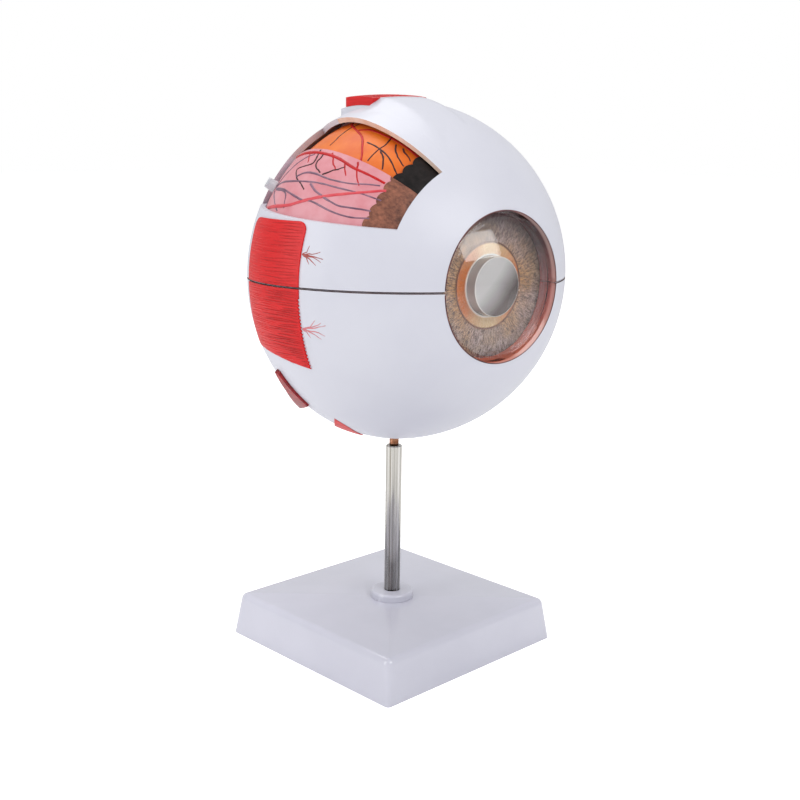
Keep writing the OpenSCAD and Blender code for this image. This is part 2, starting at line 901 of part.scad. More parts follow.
module rod_nut() {
    color("silver") translate([0, 0, boss_low - 2 * seat_gap - washer_t - nut_t]) difference() {
        cylinder(r = nut_w / sqrt(3), h = nut_t, $fn = 6);
        translate([0, 0, -1]) cylinder(r = thread_d / 2 + fit, h = nut_t + 2);
    }
}

module ball_pin() {
    neck_top = rod_top + seat_gap + neck_h - seat_gap;
    color("peru") {
        translate([0, 0, rod_top + seat_gap]) cylinder(d = neck_d, h = neck_h - seat_gap);
        translate([0, 0, rod_top - pin_depth])
            cylinder(d = pin_d, h = pin_depth + neck_h + ball_r - boss_top - 1);
    }
}

module pin_bush() {
    color("goldenrod") on_ball() translate([0, 0, -ball_r + bottom_flat]) difference() {
        cylinder(d = bush_d, h = ball_r - boss_top - bottom_flat);
        translate([0, 0, -1]) cylinder(r = pin_d / 2 + fit, h = far / 10);
    }
}

base_shell();
base_pad();
rod_foot();
rod();
rod_washer();
rod_nut();
ball_pin();
pin_bush();
sclera_lower();
locating_pegs();
lateral_rectus_lower();
medial_rectus_lower();
inferior_rectus();
inferior_oblique();
optic_nerve();
nerve_vessels();
choroid_lower();
retina_lower();
sclera_upper();
lateral_rectus_upper();
medial_rectus_upper();
superior_rectus();
superior_oblique();
choroid_upper();
retina_upper();
brown_edge();
black_edge();
vein_stub();
cornea();
iris();
ciliary_ring();
lens();
vitreous_body();
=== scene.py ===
"""The looks of the eye model: an opened eyeball of six times life size on a square stand.

Sizes are in millimetres until a mesh is made, and places on the ball are measured from the
ball's centre. "roll" turns about the gaze axis from the lateral side up to the top, and "ang"
is the angle from the gaze axis.
"""
import json
import math
import bmesh
import bpy
import numpy as np
from mathutils import Matrix, Vector

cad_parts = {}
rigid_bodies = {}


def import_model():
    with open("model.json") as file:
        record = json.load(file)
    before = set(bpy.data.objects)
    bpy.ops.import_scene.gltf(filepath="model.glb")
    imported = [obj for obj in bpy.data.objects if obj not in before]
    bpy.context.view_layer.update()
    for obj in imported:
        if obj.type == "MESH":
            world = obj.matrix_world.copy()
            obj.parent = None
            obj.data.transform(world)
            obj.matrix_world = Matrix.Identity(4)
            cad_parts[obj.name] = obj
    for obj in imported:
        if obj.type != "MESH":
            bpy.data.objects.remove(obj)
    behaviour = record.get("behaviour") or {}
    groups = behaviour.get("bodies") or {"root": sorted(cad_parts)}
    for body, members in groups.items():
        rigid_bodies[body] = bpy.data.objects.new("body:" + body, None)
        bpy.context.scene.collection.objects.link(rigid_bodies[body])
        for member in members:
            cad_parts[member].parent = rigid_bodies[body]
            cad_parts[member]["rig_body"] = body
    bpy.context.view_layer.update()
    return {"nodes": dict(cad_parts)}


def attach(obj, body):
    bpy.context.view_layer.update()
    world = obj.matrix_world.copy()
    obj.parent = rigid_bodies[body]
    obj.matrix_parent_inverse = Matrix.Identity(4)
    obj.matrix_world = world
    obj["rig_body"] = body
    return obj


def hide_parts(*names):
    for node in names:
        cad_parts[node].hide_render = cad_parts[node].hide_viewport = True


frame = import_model()

MM = 0.001

# The ball's outline: a sphere in front, a rounder arc at the side and a flatter one behind
BALL_R = 75.0
SIDE_R = 48.0
SIDE_TURN = math.radians(15)    # how far before the centre the side arc starts
REAR_DEPTH = 50.0               # how far the rear stands behind the centre
SIDE_C = (BALL_R - SIDE_R) * np.array([math.cos(SIDE_TURN), -math.sin(SIDE_TURN)])
REAR_K = ((SIDE_C @ SIDE_C - (REAR_DEPTH - SIDE_R) ** 2)
          / (2 * (REAR_DEPTH - SIDE_R - SIDE_C[1])))
REAR_R = REAR_DEPTH + REAR_K    # the rear arc's middle lies REAR_K before the centre
REAR_TURN = math.atan2(SIDE_C[1] + REAR_K, SIDE_C[0])

# Layers, as distances under the ball's surface
GLUE_GAP = 0.1
LINER_GAP = 0.3
LINER_T = 1.6
BLACK_T = 1.4
SCLERA_T = 2.2
CHOROID_UNDER = SCLERA_T + LINER_GAP
CHOROID_RECESS = 3.3            # floor of the recess that holds the brown edge
CHOROID_BACK = CHOROID_UNDER + LINER_T
RETINA_UNDER = CHOROID_BACK + GLUE_GAP
RETINA_BACK = RETINA_UNDER + LINER_T
BLACK_UNDER = RETINA_UNDER - GLUE_GAP - BLACK_T

# Opening, iris and lens
OPENING_R = 31.0
IRIS_Y = 15.0 - BALL_R
IRIS_R = OPENING_R + 4.0
IRIS_T = 2.0
PUPIL_R = 12.4
COLLARETTE_R = 17.8
LENS_OUT = 4.8                  # how far the lens stands before the iris

# Window and seam
WINDOW_ROLL = math.radians(64)
RIM_HEIGHT = 35.0               # the window's upper rim is painted above this height,
RIM_SIDE = -8.0                 # lateral of this place
RIM_REAR = 2.0                  # and before this place
RIM_WALL = 6.0                  # how far the rim may stand out of the ball
STEP_LOW = 20.0                 # the choroid's cut edge is painted above this height
GROOVE_HALF = 0.45
GROOVE_DEEP = 0.4

# Side muscles, from the seam and from the ball's centre backwards
MUSCLE_T = 0.6
MUSCLE_FRONT = -24.6
MUSCLE_REAR = 8.4
MUSCLE_TOP = 26.0
MUSCLE_LOW = -33.6
MUSCLE_CORNER = 4.0
MUSCLE_TIP_BACK = 2.0
LOW_EDGE_DROPS = (27.0, 29.8, 33.0)
LOW_EDGE_REARS = (MUSCLE_REAR, -7.6, -22.0)

# Superior rectus: its top is a wheel whose axis lies behind and above the ball's centre
TOP_BACK = 3.0
TOP_RISE = 1.8
TOP_CROWN_R = 170.0

# Rod and pin, and with them the height of the ball's centre
ROD_TOP = 94.2
NECK_R = 2.05
NECK_H = 5.3
SEAT_GAP = 0.05
BOTTOM_FLAT = 0.2
BALL_Z = ROD_TOP + NECK_H + SEAT_GAP + BALL_R - BOTTOM_FLAT
CENTRE = np.array([0.0, 0.0, BALL_Z])

# The photograph's camera, round the object's upright axis
CAMERA_TURN = math.radians(-39.48)
CAMERA_LIFT = math.radians(12.66)
CAMERA_ROLL = math.radians(0.863)
CAMERA_LENS = 53.49
CAMERA_AIM_HEIGHT = 0.11533
CAMERA_SIDE = 0.002448
CAMERA_BACK = 0.5454

JOIN = 2e-6                     # points nearer than this, in metres, are one


# ---- camera, floor and light ----

def make_camera():
    right = Vector((math.cos(CAMERA_TURN), math.sin(CAMERA_TURN), 0))
    back = Vector((math.sin(CAMERA_TURN) * math.cos(CAMERA_LIFT),
                   -math.cos(CAMERA_TURN) * math.cos(CAMERA_LIFT), math.sin(CAMERA_LIFT)))
    up = back.cross(right)
    data = bpy.data.cameras.new("camera")
    data.lens = CAMERA_LENS
    data.sensor_width = 36.0
    data.clip_start = 0.01
    data.clip_end = 50.0
    camera = bpy.data.objects.new("camera", data)
    bpy.context.scene.collection.objects.link(camera)
    cosine, sine = math.cos(CAMERA_ROLL), math.sin(CAMERA_ROLL)
    place = Matrix((right * cosine + up * sine, up * cosine - right * sine, back))
    place = place.transposed().to_4x4()
    place.translation = (right * CAMERA_SIDE + Vector((0, 0, CAMERA_AIM_HEIGHT))
                         + back * CAMERA_BACK)
    camera.matrix_world = place
    bpy.context.scene.camera = camera


def area_light(name, place, aim, size, power):
    data = bpy.data.lights.new(name, "AREA")
    data.shape = "RECTANGLE"
    data.size, data.size_y = size
    data.energy = power
    light = bpy.data.objects.new(name, data)
    bpy.context.scene.collection.objects.link(light)
    light.location = place
    light.rotation_euler = (Vector(aim) - Vector(place)).to_track_quat("-Z", "Y").to_euler()


def put(tree, kind, sockets=None, **settings):
    """Adds a node. Each entry of sockets is a value, or an output that is linked to it."""
    node = tree.nodes.new(kind)
    for key, value in settings.items():
        setattr(node, key, value)
    for key, value in (sockets or {}).items():
        if isinstance(value, bpy.types.NodeSocket):
            tree.links.new(value, node.inputs[key])
        else:
            node.inputs[key].default_value = value
    return node


def new_material(name, **shader):
    """A Principled material. Returns the material, its tree and its shader node."""
    material = bpy.data.materials.new(name)
    material.use_nodes = True
    tree = material.node_tree
    surface = next(n for n in tree.nodes if n.type == "BSDF_PRINCIPLED")
    for key, value in shader.items():
        surface.inputs[key.replace("_", " ")].default_value = value
    return material, tree, surface


def make_floor():
    """A pale floor that is brighter to the camera than to the object."""
    bpy.ops.mesh.primitive_plane_add(size=12, location=(0, 0, 0))
    floor = bpy.context.object
    floor.name = "floor"
    material, tree, surface = new_material("pale_floor", Base_Color=(0.95, 0.95, 0.955, 1),
                                           Roughness=0.7, Emission_Color=(1, 1, 1, 1))
    seen = put(tree, "ShaderNodeLightPath").outputs["Is Camera Ray"]
    glow = put(tree, "ShaderNodeMath", {0: seen, 1: 0.42}, operation="MULTIPLY")
    tree.links.new(glow.outputs[0], surface.inputs["Emission Strength"])
    floor.data.materials.append(material)


def make_world():
    """White surroundings, also brighter to the camera than to the object."""
    world = bpy.data.worlds.new("studio")
    world.use_nodes = True
    tree = world.node_tree
    backdrop = tree.nodes["Background"]
    backdrop.inputs["Color"].default_value = (1, 1, 1, 1)
    path = put(tree, "ShaderNodeLightPath")
    strength = put(tree, "ShaderNodeMapRange", {"Value": path.outputs["Is Camera Ray"],
                   "To Min": 0.62, "To Max": 1.0})
    tree.links.new(strength.outputs["Result"], backdrop.inputs["Strength"])
    bpy.context.scene.world = world
    bpy.context.scene.view_settings.view_transform = "Standard"


def make_lights():
    area_light("softbox", (0.06, -0.90, 0.84), (-0.016, -0.071, 0.192), (0.80, 0.50), 5.5)
    area_light("side_box", (-1.1, 0.25, 0.55), (0, 0, 0.17), (0.6, 0.9), 5.0)
    area_light("top_box", (0.1, 0.5, 1.4), (0, 0, 0.15), (0.9, 0.9), 7.0)


# ---- the ball's outline ----

def outline_radius(y):
    """Distance of the ball's surface from the gaze axis, y behind the centre."""
    y = np.asarray(y, float)
    rear_y = -REAR_K + REAR_R * math.sin(REAR_TURN)
    front = np.sqrt(np.maximum(BALL_R ** 2 - y ** 2, 0))
    side = SIDE_C[0] + np.sqrt(np.maximum(SIDE_R ** 2 - (y - SIDE_C[1]) ** 2, 0))
    rear = np.sqrt(np.maximum(REAR_R ** 2 - (y + REAR_K) ** 2, 0))
    return np.where(y < -BALL_R * math.sin(SIDE_TURN), front, np.where(y < rear_y, side, rear))


def depth_and_normal(points):
    """How far points lie under the ball's surface, and the surface's normals there."""
    x = np.maximum(np.hypot(points[..., 0], points[..., 2]), 1e-9)
    y = points[..., 1]
    front = np.arctan2(y, x) <= -SIDE_TURN
    rear = np.arctan2(y + REAR_K, x) > REAR_TURN
    cx = np.where(front | rear, 0, SIDE_C[0])
    cy = np.where(front, 0, np.where(rear, -REAR_K, SIDE_C[1]))
    radius = np.where(front, BALL_R, np.where(rear, REAR_R, SIDE_R))
    dx, dy = x - cx, y - cy
    length = np.hypot(dx, dy)
    normal = np.stack([dx / length * points[..., 0] / x, dy / length,
                       dx / length * points[..., 2] / x], -1)
    return radius - length, normal


def on_ball(roll, ang, under=0.0):
    """Points of the surface that lies the given distance under the ball's own."""
    roll, ang = np.radians(roll), np.radians(ang)
    way = np.stack([-np.sin(ang) * np.cos(roll), -np.cos(ang), np.sin(ang) * np.sin(roll)], -1)
    points = way * 70.0     # a first guess, which the steps below bring onto the surface
    for _ in range(12):
        depth, normal = depth_and_normal(points)
        facing = np.maximum((normal * way).sum(-1), 0.2)
        points = points + way * ((depth - under) / facing)[..., None]
    return points


def value_noise(x, y, seed):
    """Smooth random values between -1 and 1 over a plane."""
    table = np.random.default_rng(seed).uniform(-1, 1, (64, 64))
    x0, y0 = np.floor(x).astype(int), np.floor(y).astype(int)
    fx, fy = x - x0, y - y0
    fx, fy = fx * fx * (3 - 2 * fx), fy * fy * (3 - 2 * fy)
    a, b = table[x0 % 64, y0 % 64], table[(x0 + 1) % 64, y0 % 64]
    c, d = table[x0 % 64, (y0 + 1) % 64], table[(x0 + 1) % 64, (y0 + 1) % 64]
    return (a * (1 - fx) + b * fx) * (1 - fy) + (c * (1 - fx) + d * fx) * fy


# ---- pieces ----

def finish_piece(ob, name, body, covers=()):
    ob.name = name
    ob.data.name = name
    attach(ob, body)
    if covers:
        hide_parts(*covers)
    return ob


def smooth_copy(node, name, materials):
    """A copy of a node with its points joined, shaded smooth between its sharp edges."""
    mesh = frame["nodes"][node].data.copy()
    ob = bpy.data.objects.new(name, mesh)
    bpy.context.scene.collection.objects.link(ob)
    work = bmesh.new()
    work.from_mesh(mesh)
    bmesh.ops.remove_doubles(work, verts=work.verts, dist=JOIN)
    work.to_mesh(mesh)
    work.free()
    mesh.materials.clear()
    for material in materials:
        mesh.materials.append(material)
    mesh.polygons.foreach_set("use_smooth", np.ones(len(mesh.polygons), bool))
    mesh.set_sharp_from_angle(angle=math.radians(30))
    mesh.update()
    return ob


def read(items, label, width, kind=float):
    """An array of one property of a mesh's parts."""
    values = np.zeros(len(items) * width, kind)
    items.foreach_get(label, values)
    return values.reshape(-1, width) if width > 1 else values


def shade_layers(mesh, layers, place, corners, loops, flat):
    """Gives faces that lie on one of the ball's layers the layer's own normals."""
    depth, normal = depth_and_normal(place)
    along = (flat * depth_and_normal(place[corners].mean(1))[1]).sum(-1)
    shade = read(mesh.corner_normals, "vector", 3, np.float32)
    for under in layers:
        near = (np.abs(depth[corners] - under) < 0.12).all(-1) & (np.abs(along) > 0.97)
        for loop, corner in zip(loops[near].T, corners[near].T):
            shade[loop] = normal[corner] * np.sign(along[near])[:, None]
    mesh.normals_split_custom_set(shade.tolist())


def from_solid(node, name, materials, paint=None, layers=()):
    """A smooth copy of a node of the model, which it replaces. paint picks each face's
    material, and layers are the depths at which its faces follow the ball."""
    ob = smooth_copy(node, name, materials)
    mesh = ob.data
    place = read(mesh.vertices, "co", 3) / MM - CENTRE
    loops = read(mesh.polygons, "loop_start", 1, np.int32)[:, None] + np.arange(3)
    corners = read(mesh.loops, "vertex_index", 1, np.int32)[loops]
    flat = read(mesh.polygons, "normal", 3)
    if paint:
        index = paint(place[corners].mean(1), flat)
        mesh.polygons.foreach_set("material_index", np.asarray(index, np.int32))
    if layers:
        shade_layers(mesh, layers, place, corners, loops, flat)
    return finish_piece(ob, name, frame["nodes"][node]["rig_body"], (node,))


make_camera()
make_floor()
make_world()
make_lights()

# ---- shared effects ----

VECTOR, FLOAT, COLOUR = "NodeSocketVector", "NodeSocketFloat", "NodeSocketColor"


def effect_group(name, inputs, outputs):
    """An empty shader group with named sockets. Returns it with its two end nodes."""
    group = bpy.data.node_groups.new(name, "ShaderNodeTree")
    for label, kind in inputs:
        group.interface.new_socket(label, in_out="INPUT", socket_type=kind)
    for label, kind in outputs:
        group.interface.new_socket(label, in_out="OUTPUT", socket_type=kind)
    return group, group.nodes.new("NodeGroupInput"), group.nodes.new("NodeGroupOutput")


def blend(tree, factor, first, second):
    """The output of a node that mixes two colours."""
    return put(tree, "ShaderNodeMix", {0: factor, 6: first, 7: second},
               data_type="RGBA").outputs[2]


def sum_of(tree, kind, first, second=0.0, third=0.0):
    return put(tree, "ShaderNodeMath", {0: first, 1: second, 2: third},
               operation=kind).outputs[0]


def spread(tree, value, low, high, to_low=0.0, to_high=1.0):
    """A value mapped from one range to another, held at its ends."""
    return put(tree, "ShaderNodeMapRange", {"Value": value, "From Min": low, "From Max": high,
               "To Min": to_low, "To Max": to_high}).outputs["Result"]


def make_mottle():
    """Uneven colour and faint relief of hand painted or moulded plastic."""
    group, start, end = effect_group(
        "mottle", [("Place", VECTOR), ("Size", FLOAT), ("Dark", COLOUR), ("Light", COLOUR)],
        [("Colour", COLOUR), ("Height", FLOAT)])
    wide = put(group, "ShaderNodeTexNoise", {"Vector": start.outputs["Place"],
               "Scale": start.outputs["Size"], "Detail": 4.0, "Roughness": 0.55})
    fine = put(group, "ShaderNodeTexNoise", {"Vector": start.outputs["Place"], "Scale": 900.0,
               "Detail": 2.0})
    steep = spread(group, wide.outputs["Fac"], 0.35, 0.65)
    group.links.new(blend(group, steep, start.outputs["Dark"], start.outputs["Light"]),
                    end.inputs["Colour"])
    group.links.new(fine.outputs["Fac"], end.inputs["Height"])
    return group


def make_fibres():
    """Streaks of a fibrous surface. Place comes already drawn out along the fibres."""
    group, start, end = effect_group("fibres", [("Place", VECTOR), ("Sharpness", FLOAT)],
                                     [("Streak", FLOAT), ("Height", FLOAT)])
    broad = put(group, "ShaderNodeTexNoise", {"Vector": start.outputs["Place"], "Scale": 1.0,
                "Detail": 3.0, "Roughness": 0.6})
    narrow = put(group, "ShaderNodeTexNoise", {"Vector": start.outputs["Place"], "Scale": 3.1,
                 "Detail": 2.0, "Roughness": 0.6})
    both = sum_of(group, "MULTIPLY_ADD", narrow.outputs["Fac"], 0.45,
                  sum_of(group, "MULTIPLY", broad.outputs["Fac"], 0.55))
    centred = sum_of(group, "SUBTRACT", both, 0.5)
    streak = put(group, "ShaderNodeMath", {0: centred, 1: start.outputs["Sharpness"], 2: 0.5},
                 operation="MULTIPLY_ADD", use_clamp=True)
    group.links.new(streak.outputs[0], end.inputs["Streak"])
    group.links.new(both, end.inputs["Height"])
    return group


MOTTLE, FIBRES = make_mottle(), make_fibres()


def object_place(tree):
    return put(tree, "ShaderNodeTexCoord").outputs["Object"]


def relief(tree, surface, height, strength, distance=0.0005):
    bump = put(tree, "ShaderNodeBump", {"Strength": strength, "Distance": distance,
               "Height": height})
    tree.links.new(bump.outputs["Normal"], surface.inputs["Normal"])


def streaks(tree, place, sharpness):
    """The outputs of the fibres effect."""
    return put(tree, "ShaderNodeGroup", {"Place": place, "Sharpness": sharpness},
               node_tree=FIBRES).outputs


def patches(tree, scale, detail):
    """Uneven patches of the given number per metre."""
    return put(tree, "ShaderNodeTexNoise", {"Vector": object_place(tree), "Scale": scale,
               "Detail": detail}).outputs["Fac"]


def mottled(name, dark, light, size, bump=0.02, **shader):
    """Uneven paint between two colours: size is the number of patches per metre."""
    material, tree, surface = new_material(name, **shader)
    effect = put(tree, "ShaderNodeGroup",
                 {"Place": object_place(tree), "Size": size, "Dark": (*dark, 1),
                  "Light": (*light, 1)}, node_tree=MOTTLE)
    tree.links.new(effect.outputs["Colour"], surface.inputs["Base Color"])
    relief(tree, surface, effect.outputs["Height"], bump)
    return material


def fibrous(name, dark, light, scale, sharpness, bump, **shader):
    """Streaked paint: scale is the number of streaks per metre along x, y and z."""
    material, tree, surface = new_material(name, **shader)
    drawn = put(tree, "ShaderNodeMapping", {"Vector": object_place(tree), "Scale": scale})
    effect = streaks(tree, drawn.outputs["Vector"], sharpness)
    colour = blend(tree, effect["Streak"], (*dark, 1), (*light, 1))
    tree.links.new(colour, surface.inputs["Base Color"])
    relief(tree, surface, effect["Height"], bump)
    return material


def gaze_polar(tree):
    """Distance from the gaze axis in millimetres, the two parts of the way out from it, and
    the place along it in metres."""
    part = put(tree, "ShaderNodeSeparateXYZ", {0: object_place(tree)})
    across = sum_of(tree, "MULTIPLY", part.outputs["X"], 1000.0)
    height = sum_of(tree, "MULTIPLY_ADD", part.outputs["Z"], 1000.0, -BALL_Z)
    square = sum_of(tree, "MULTIPLY_ADD", across, across,
                    sum_of(tree, "MULTIPLY", height, height))
    distance = sum_of(tree, "MAXIMUM", sum_of(tree, "SQRT", square), 0.1)
    return (distance, sum_of(tree, "DIVIDE", across, distance),
            sum_of(tree, "DIVIDE", height, distance), part.outputs["Y"])


def make_iris_paint():
    """Radial fibres: cream and amber inside the collarette, grey brown outside it and darker
    towards its outer edge. Painted shade darkens the top of the outer zone, and a painted
    highlight lies in pale cream round the pupil.
    """
    material, tree, surface = new_material("iris_paint", Roughness=0.32, Coat_Weight=0.15)
    distance, across, height, _ = gaze_polar(tree)
    place = put(tree, "ShaderNodeCombineXYZ", {
        "X": sum_of(tree, "MULTIPLY", across, 36.0), "Y": sum_of(tree, "MULTIPLY", height, 36.0),
        "Z": sum_of(tree, "MULTIPLY", distance, 0.5)})
    effect = streaks(tree, place.outputs[0], 5.5)
    streak = effect["Streak"]
    patch = patches(tree, 90.0, 2.0)
    sideways = spread(tree, sum_of(tree, "ABSOLUTE", across), 0.15, 0.8)
    warm = sum_of(tree, "MULTIPLY", sideways, spread(tree, patch, 0.3, 0.6, 0.5, 1.0))
    inner = blend(tree, warm, (0.72, 0.55, 0.31, 1), (0.52, 0.125, 0.012, 1))
    inner = blend(tree, sum_of(tree, "MULTIPLY", streak, 0.4), inner, (0.36, 0.14, 0.04, 1))
    pale = blend(tree, spread(tree, patch, 0.4, 0.6), (0.47, 0.37, 0.345, 1),
                 (0.47, 0.32, 0.20, 1))
    near = spread(tree, distance, 19.0, 28.0, 0.8, 0.0)
    pale = blend(tree, sum_of(tree, "MULTIPLY", warm, near), pale, (0.60, 0.30, 0.09, 1))
    outer = blend(tree, streak, (0.08, 0.040, 0.032, 1), pale)
    # Painted shade: the top of the outer zone darkens towards the opening's upper wall.
    high = sum_of(tree, "MULTIPLY", spread(tree, height, 0.2, 0.95),
                  spread(tree, distance, 20.0, 28.0, 0.0, 0.85))
    outer = blend(tree, high, outer, (0.07, 0.035, 0.04, 1))
    rim = spread(tree, distance, 28.0, 32.5, 0.0, 0.6)
    outer = blend(tree, rim, outer, (0.09, 0.04, 0.035, 1))
    both = blend(tree, spread(tree, distance, COLLARETTE_R - 0.15, COLLARETTE_R + 0.15), inner,
                 outer)
    ring = sum_of(tree, "ABSOLUTE", sum_of(tree, "SUBTRACT", distance, COLLARETTE_R))
    line = spread(tree, ring, 0.15, 0.75, 0.75, 0.0)
    both = blend(tree, line, both, (0.24, 0.095, 0.03, 1))
    # Painted highlight: a pale cream band on the iris round the pupil's edge.
    edge = spread(tree, distance, PUPIL_R + 0.5, PUPIL_R + 1.1, 0.8, 0.0)
    tree.links.new(blend(tree, edge, both, (0.86, 0.78, 0.66, 1)), surface.inputs["Base Color"])
    relief(tree, surface, effect["Height"], 0.35)
    return material


def make_wall_paint():
    """Paint of the opening's wall, from near black at the top through pink beside to salmon
    below: partly the wall's own dark red paint and partly painted shade, darkest at the top, with
    a pale painted highlight along the outer edge."""
    material, tree, surface = new_material("wall_paint", Roughness=0.22, Coat_Weight=0.4)
    _, _, height, depth = gaze_polar(tree)
    patch = patches(tree, 130.0, 3.0)
    # Painted shade: the wall grows darker towards its top.
    uneven = sum_of(tree, "MULTIPLY_ADD", patch, 0.3, sum_of(tree, "SUBTRACT", height, 0.15))
    high = blend(tree, spread(tree, uneven, -0.1, 0.5), (0.46, 0.12, 0.11, 1),
                 (0.06, 0.003, 0.006, 1))
    whole = blend(tree, spread(tree, uneven, -0.8, -0.2), (0.68, 0.15, 0.075, 1), high)
    # Painted highlight: a pale band along the wall's outer edge.
    highlight_depth = spread(tree, sum_of(tree, "MULTIPLY", depth, 1000.0), -66.6, -65.0)
    whole = blend(tree, spread(tree, highlight_depth, 0.0, 1.0, 0.6, 1.0), (0.80, 0.50, 0.45, 1), whole)
    tree.links.new(whole, surface.inputs["Base Color"])
    return material


def make_clear_cornea():
    """Clear shell. Its gloss is strongest where it is seen straight on, as on the real one."""
    material, tree, surface = new_material("clear_cornea", Base_Color=(0.99, 0.99, 1.0, 1),
                                           Roughness=0.0, Transmission_Weight=1.0, IOR=1.03,
                                           Coat_Roughness=0.01)
    facing = put(tree, "ShaderNodeLayerWeight", {"Blend": 0.5}).outputs["Facing"]
    tree.links.new(spread(tree, facing, 0.3, 0.75, 0.85, 0.04), surface.inputs["Coat Weight"])
    return material


def make_lens_paint():
    """Milky plastic of the lens, with painted shade that darkens it low on the medial side."""
    material, tree, surface = new_material("milky_lens", Roughness=0.08, Coat_Weight=0.6,
                                           Transmission_Weight=0.25, IOR=1.16)
    distance, across, height, _ = gaze_polar(tree)
    # Painted shade: darker low on the medial side, lighter up on the lateral side.
    painted_shade_lean = sum_of(tree, "MULTIPLY", sum_of(tree, "SUBTRACT", across, height), distance)
    shade = spread(tree, painted_shade_lean, -6.0, 10.0)
    tree.links.new(blend(tree, shade, (0.64, 0.63, 0.62, 1), (0.07, 0.042, 0.038, 1)),
                   surface.inputs["Base Color"])
    return material


def make_rod_steel():
    """Steel with fine lines drawn along the rod: brushed lines whose dark olive streaks are also
    a painted reflection.
    """
    material, tree, surface = new_material("rod_steel", Metallic=1.0, Roughness=0.2)
    drawn = put(tree, "ShaderNodeMapping", {"Vector": object_place(tree),
                "Scale": (900.0, 900.0, 1.5)})
    effect = streaks(tree, drawn.outputs["Vector"], 4.0)
    # The dark olive streaks are partly brushing and partly painted dark reflections.
    tree.links.new(blend(tree, effect["Streak"], (0.24, 0.215, 0.175, 1),
                         (0.80, 0.79, 0.76, 1)), surface.inputs["Base Color"])
    tree.links.new(spread(tree, effect["Height"], 0.3, 0.7, 0.14, 0.34),
                   surface.inputs["Roughness"])
    return material


white_shell = mottled("white_shell", (0.56, 0.565, 0.635), (0.585, 0.59, 0.655), 25,
                      Roughness=0.42, Coat_Weight=0.06, Coat_Roughness=0.2)
base_white = mottled("base_white", (0.52, 0.52, 0.60), (0.55, 0.55, 0.63), 25,
                     Roughness=0.12, Coat_Weight=0.5, Coat_Roughness=0.03)
seam_dark = mottled("seam_dark", (0.035, 0.012, 0.012), (0.10, 0.05, 0.045), 300, Roughness=0.6)
window_rim = mottled("window_rim", (0.66, 0.44, 0.33), (0.72, 0.56, 0.47), 200, Roughness=0.4)
wall_paint = make_wall_paint()
pad_grey = mottled("pad_grey", (0.03, 0.03, 0.032), (0.05, 0.05, 0.052), 400, 0.3,
                   Roughness=0.8)
peg_plastic = mottled("peg_plastic", (0.5, 0.5, 0.54), (0.56, 0.56, 0.6), 80, Roughness=0.4)
choroid_pink = mottled("choroid_pink", (0.58, 0.215, 0.245), (0.63, 0.29, 0.325), 120,
                       Roughness=0.4, Specular_IOR_Level=0.3)
step_pink = mottled("step_pink", (0.68, 0.33, 0.33), (0.74, 0.42, 0.41), 200, Roughness=0.3)
retina_orange = mottled("retina_orange", (0.60, 0.095, 0.005), (0.70, 0.16, 0.012), 75,
                        Roughness=0.4, Specular_IOR_Level=0.3)
edge_brown = fibrous("edge_brown", (0.075, 0.022, 0.013), (0.32, 0.115, 0.065),
                     (300, 90, 300), 3.0, 0.4, Roughness=0.4)
edge_black = mottled("edge_black", (0.003, 0.002, 0.002), (0.014, 0.010, 0.010), 300, 0.2,
                     Roughness=0.4, Specular_IOR_Level=0.2)
nerve_cream = fibrous("nerve_cream", (0.60, 0.42, 0.22), (0.74, 0.62, 0.42),
                      (260, 18, 260), 2.6, 0.3, Roughness=0.35)
vessel_red = mottled("vessel_red", (0.40, 0.002, 0.005), (0.50, 0.006, 0.008), 200,
                     Roughness=0.4, Specular_IOR_Level=0.3)
vessel_pink = mottled("vessel_pink", (0.55, 0.035, 0.055), (0.62, 0.07, 0.085), 200,
                      Roughness=0.4)
vessel_violet = mottled("vessel_violet", (0.11, 0.05, 0.09), (0.25, 0.13, 0.19), 200,
                        Roughness=0.3)
vessel_dark = mottled("vessel_dark", (0.03, 0.008, 0.010), (0.06, 0.02, 0.024), 200,
                      Roughness=0.4, Specular_IOR_Level=0.25)
vein_grey = mottled("vein_grey", (0.45, 0.46, 0.50), (0.60, 0.61, 0.65), 200, Roughness=0.35)
twig_brown = mottled("twig_brown", (0.28, 0.035, 0.028), (0.42, 0.08, 0.06), 200,
                     Roughness=0.35)
twig_pink = mottled("twig_pink", (0.55, 0.13, 0.15), (0.62, 0.2, 0.22), 200, Roughness=0.35)
ciliary_brown = mottled("ciliary_brown", (0.10, 0.03, 0.02), (0.2, 0.08, 0.05), 200,
                        Roughness=0.4)
muscle_red = fibrous("muscle_red", (0.50, 0.004, 0.006), (0.64, 0.012, 0.014),
                     (240, 26, 420), 3.2, 0.4, Roughness=0.4, Specular_IOR_Level=0.28)
strand_dark = mottled("strand_dark", (0.38, 0.003, 0.004), (0.48, 0.005, 0.006), 200,
                      Roughness=0.4, Specular_IOR_Level=0.28)
strand_light = mottled("strand_light", (0.58, 0.008, 0.009), (0.66, 0.018, 0.018), 200,
                       Roughness=0.38, Specular_IOR_Level=0.28)
oblique_red = fibrous("oblique_red", (0.12, 0.003, 0.006), (0.42, 0.012, 0.016),
                      (300, 60, 200), 3.2, 0.5, Roughness=0.36)
opening_dark = mottled("opening_dark", (0.05, 0.012, 0.014), (0.13, 0.03, 0.03), 150,
                       Roughness=0.4)
iris_paint = make_iris_paint()
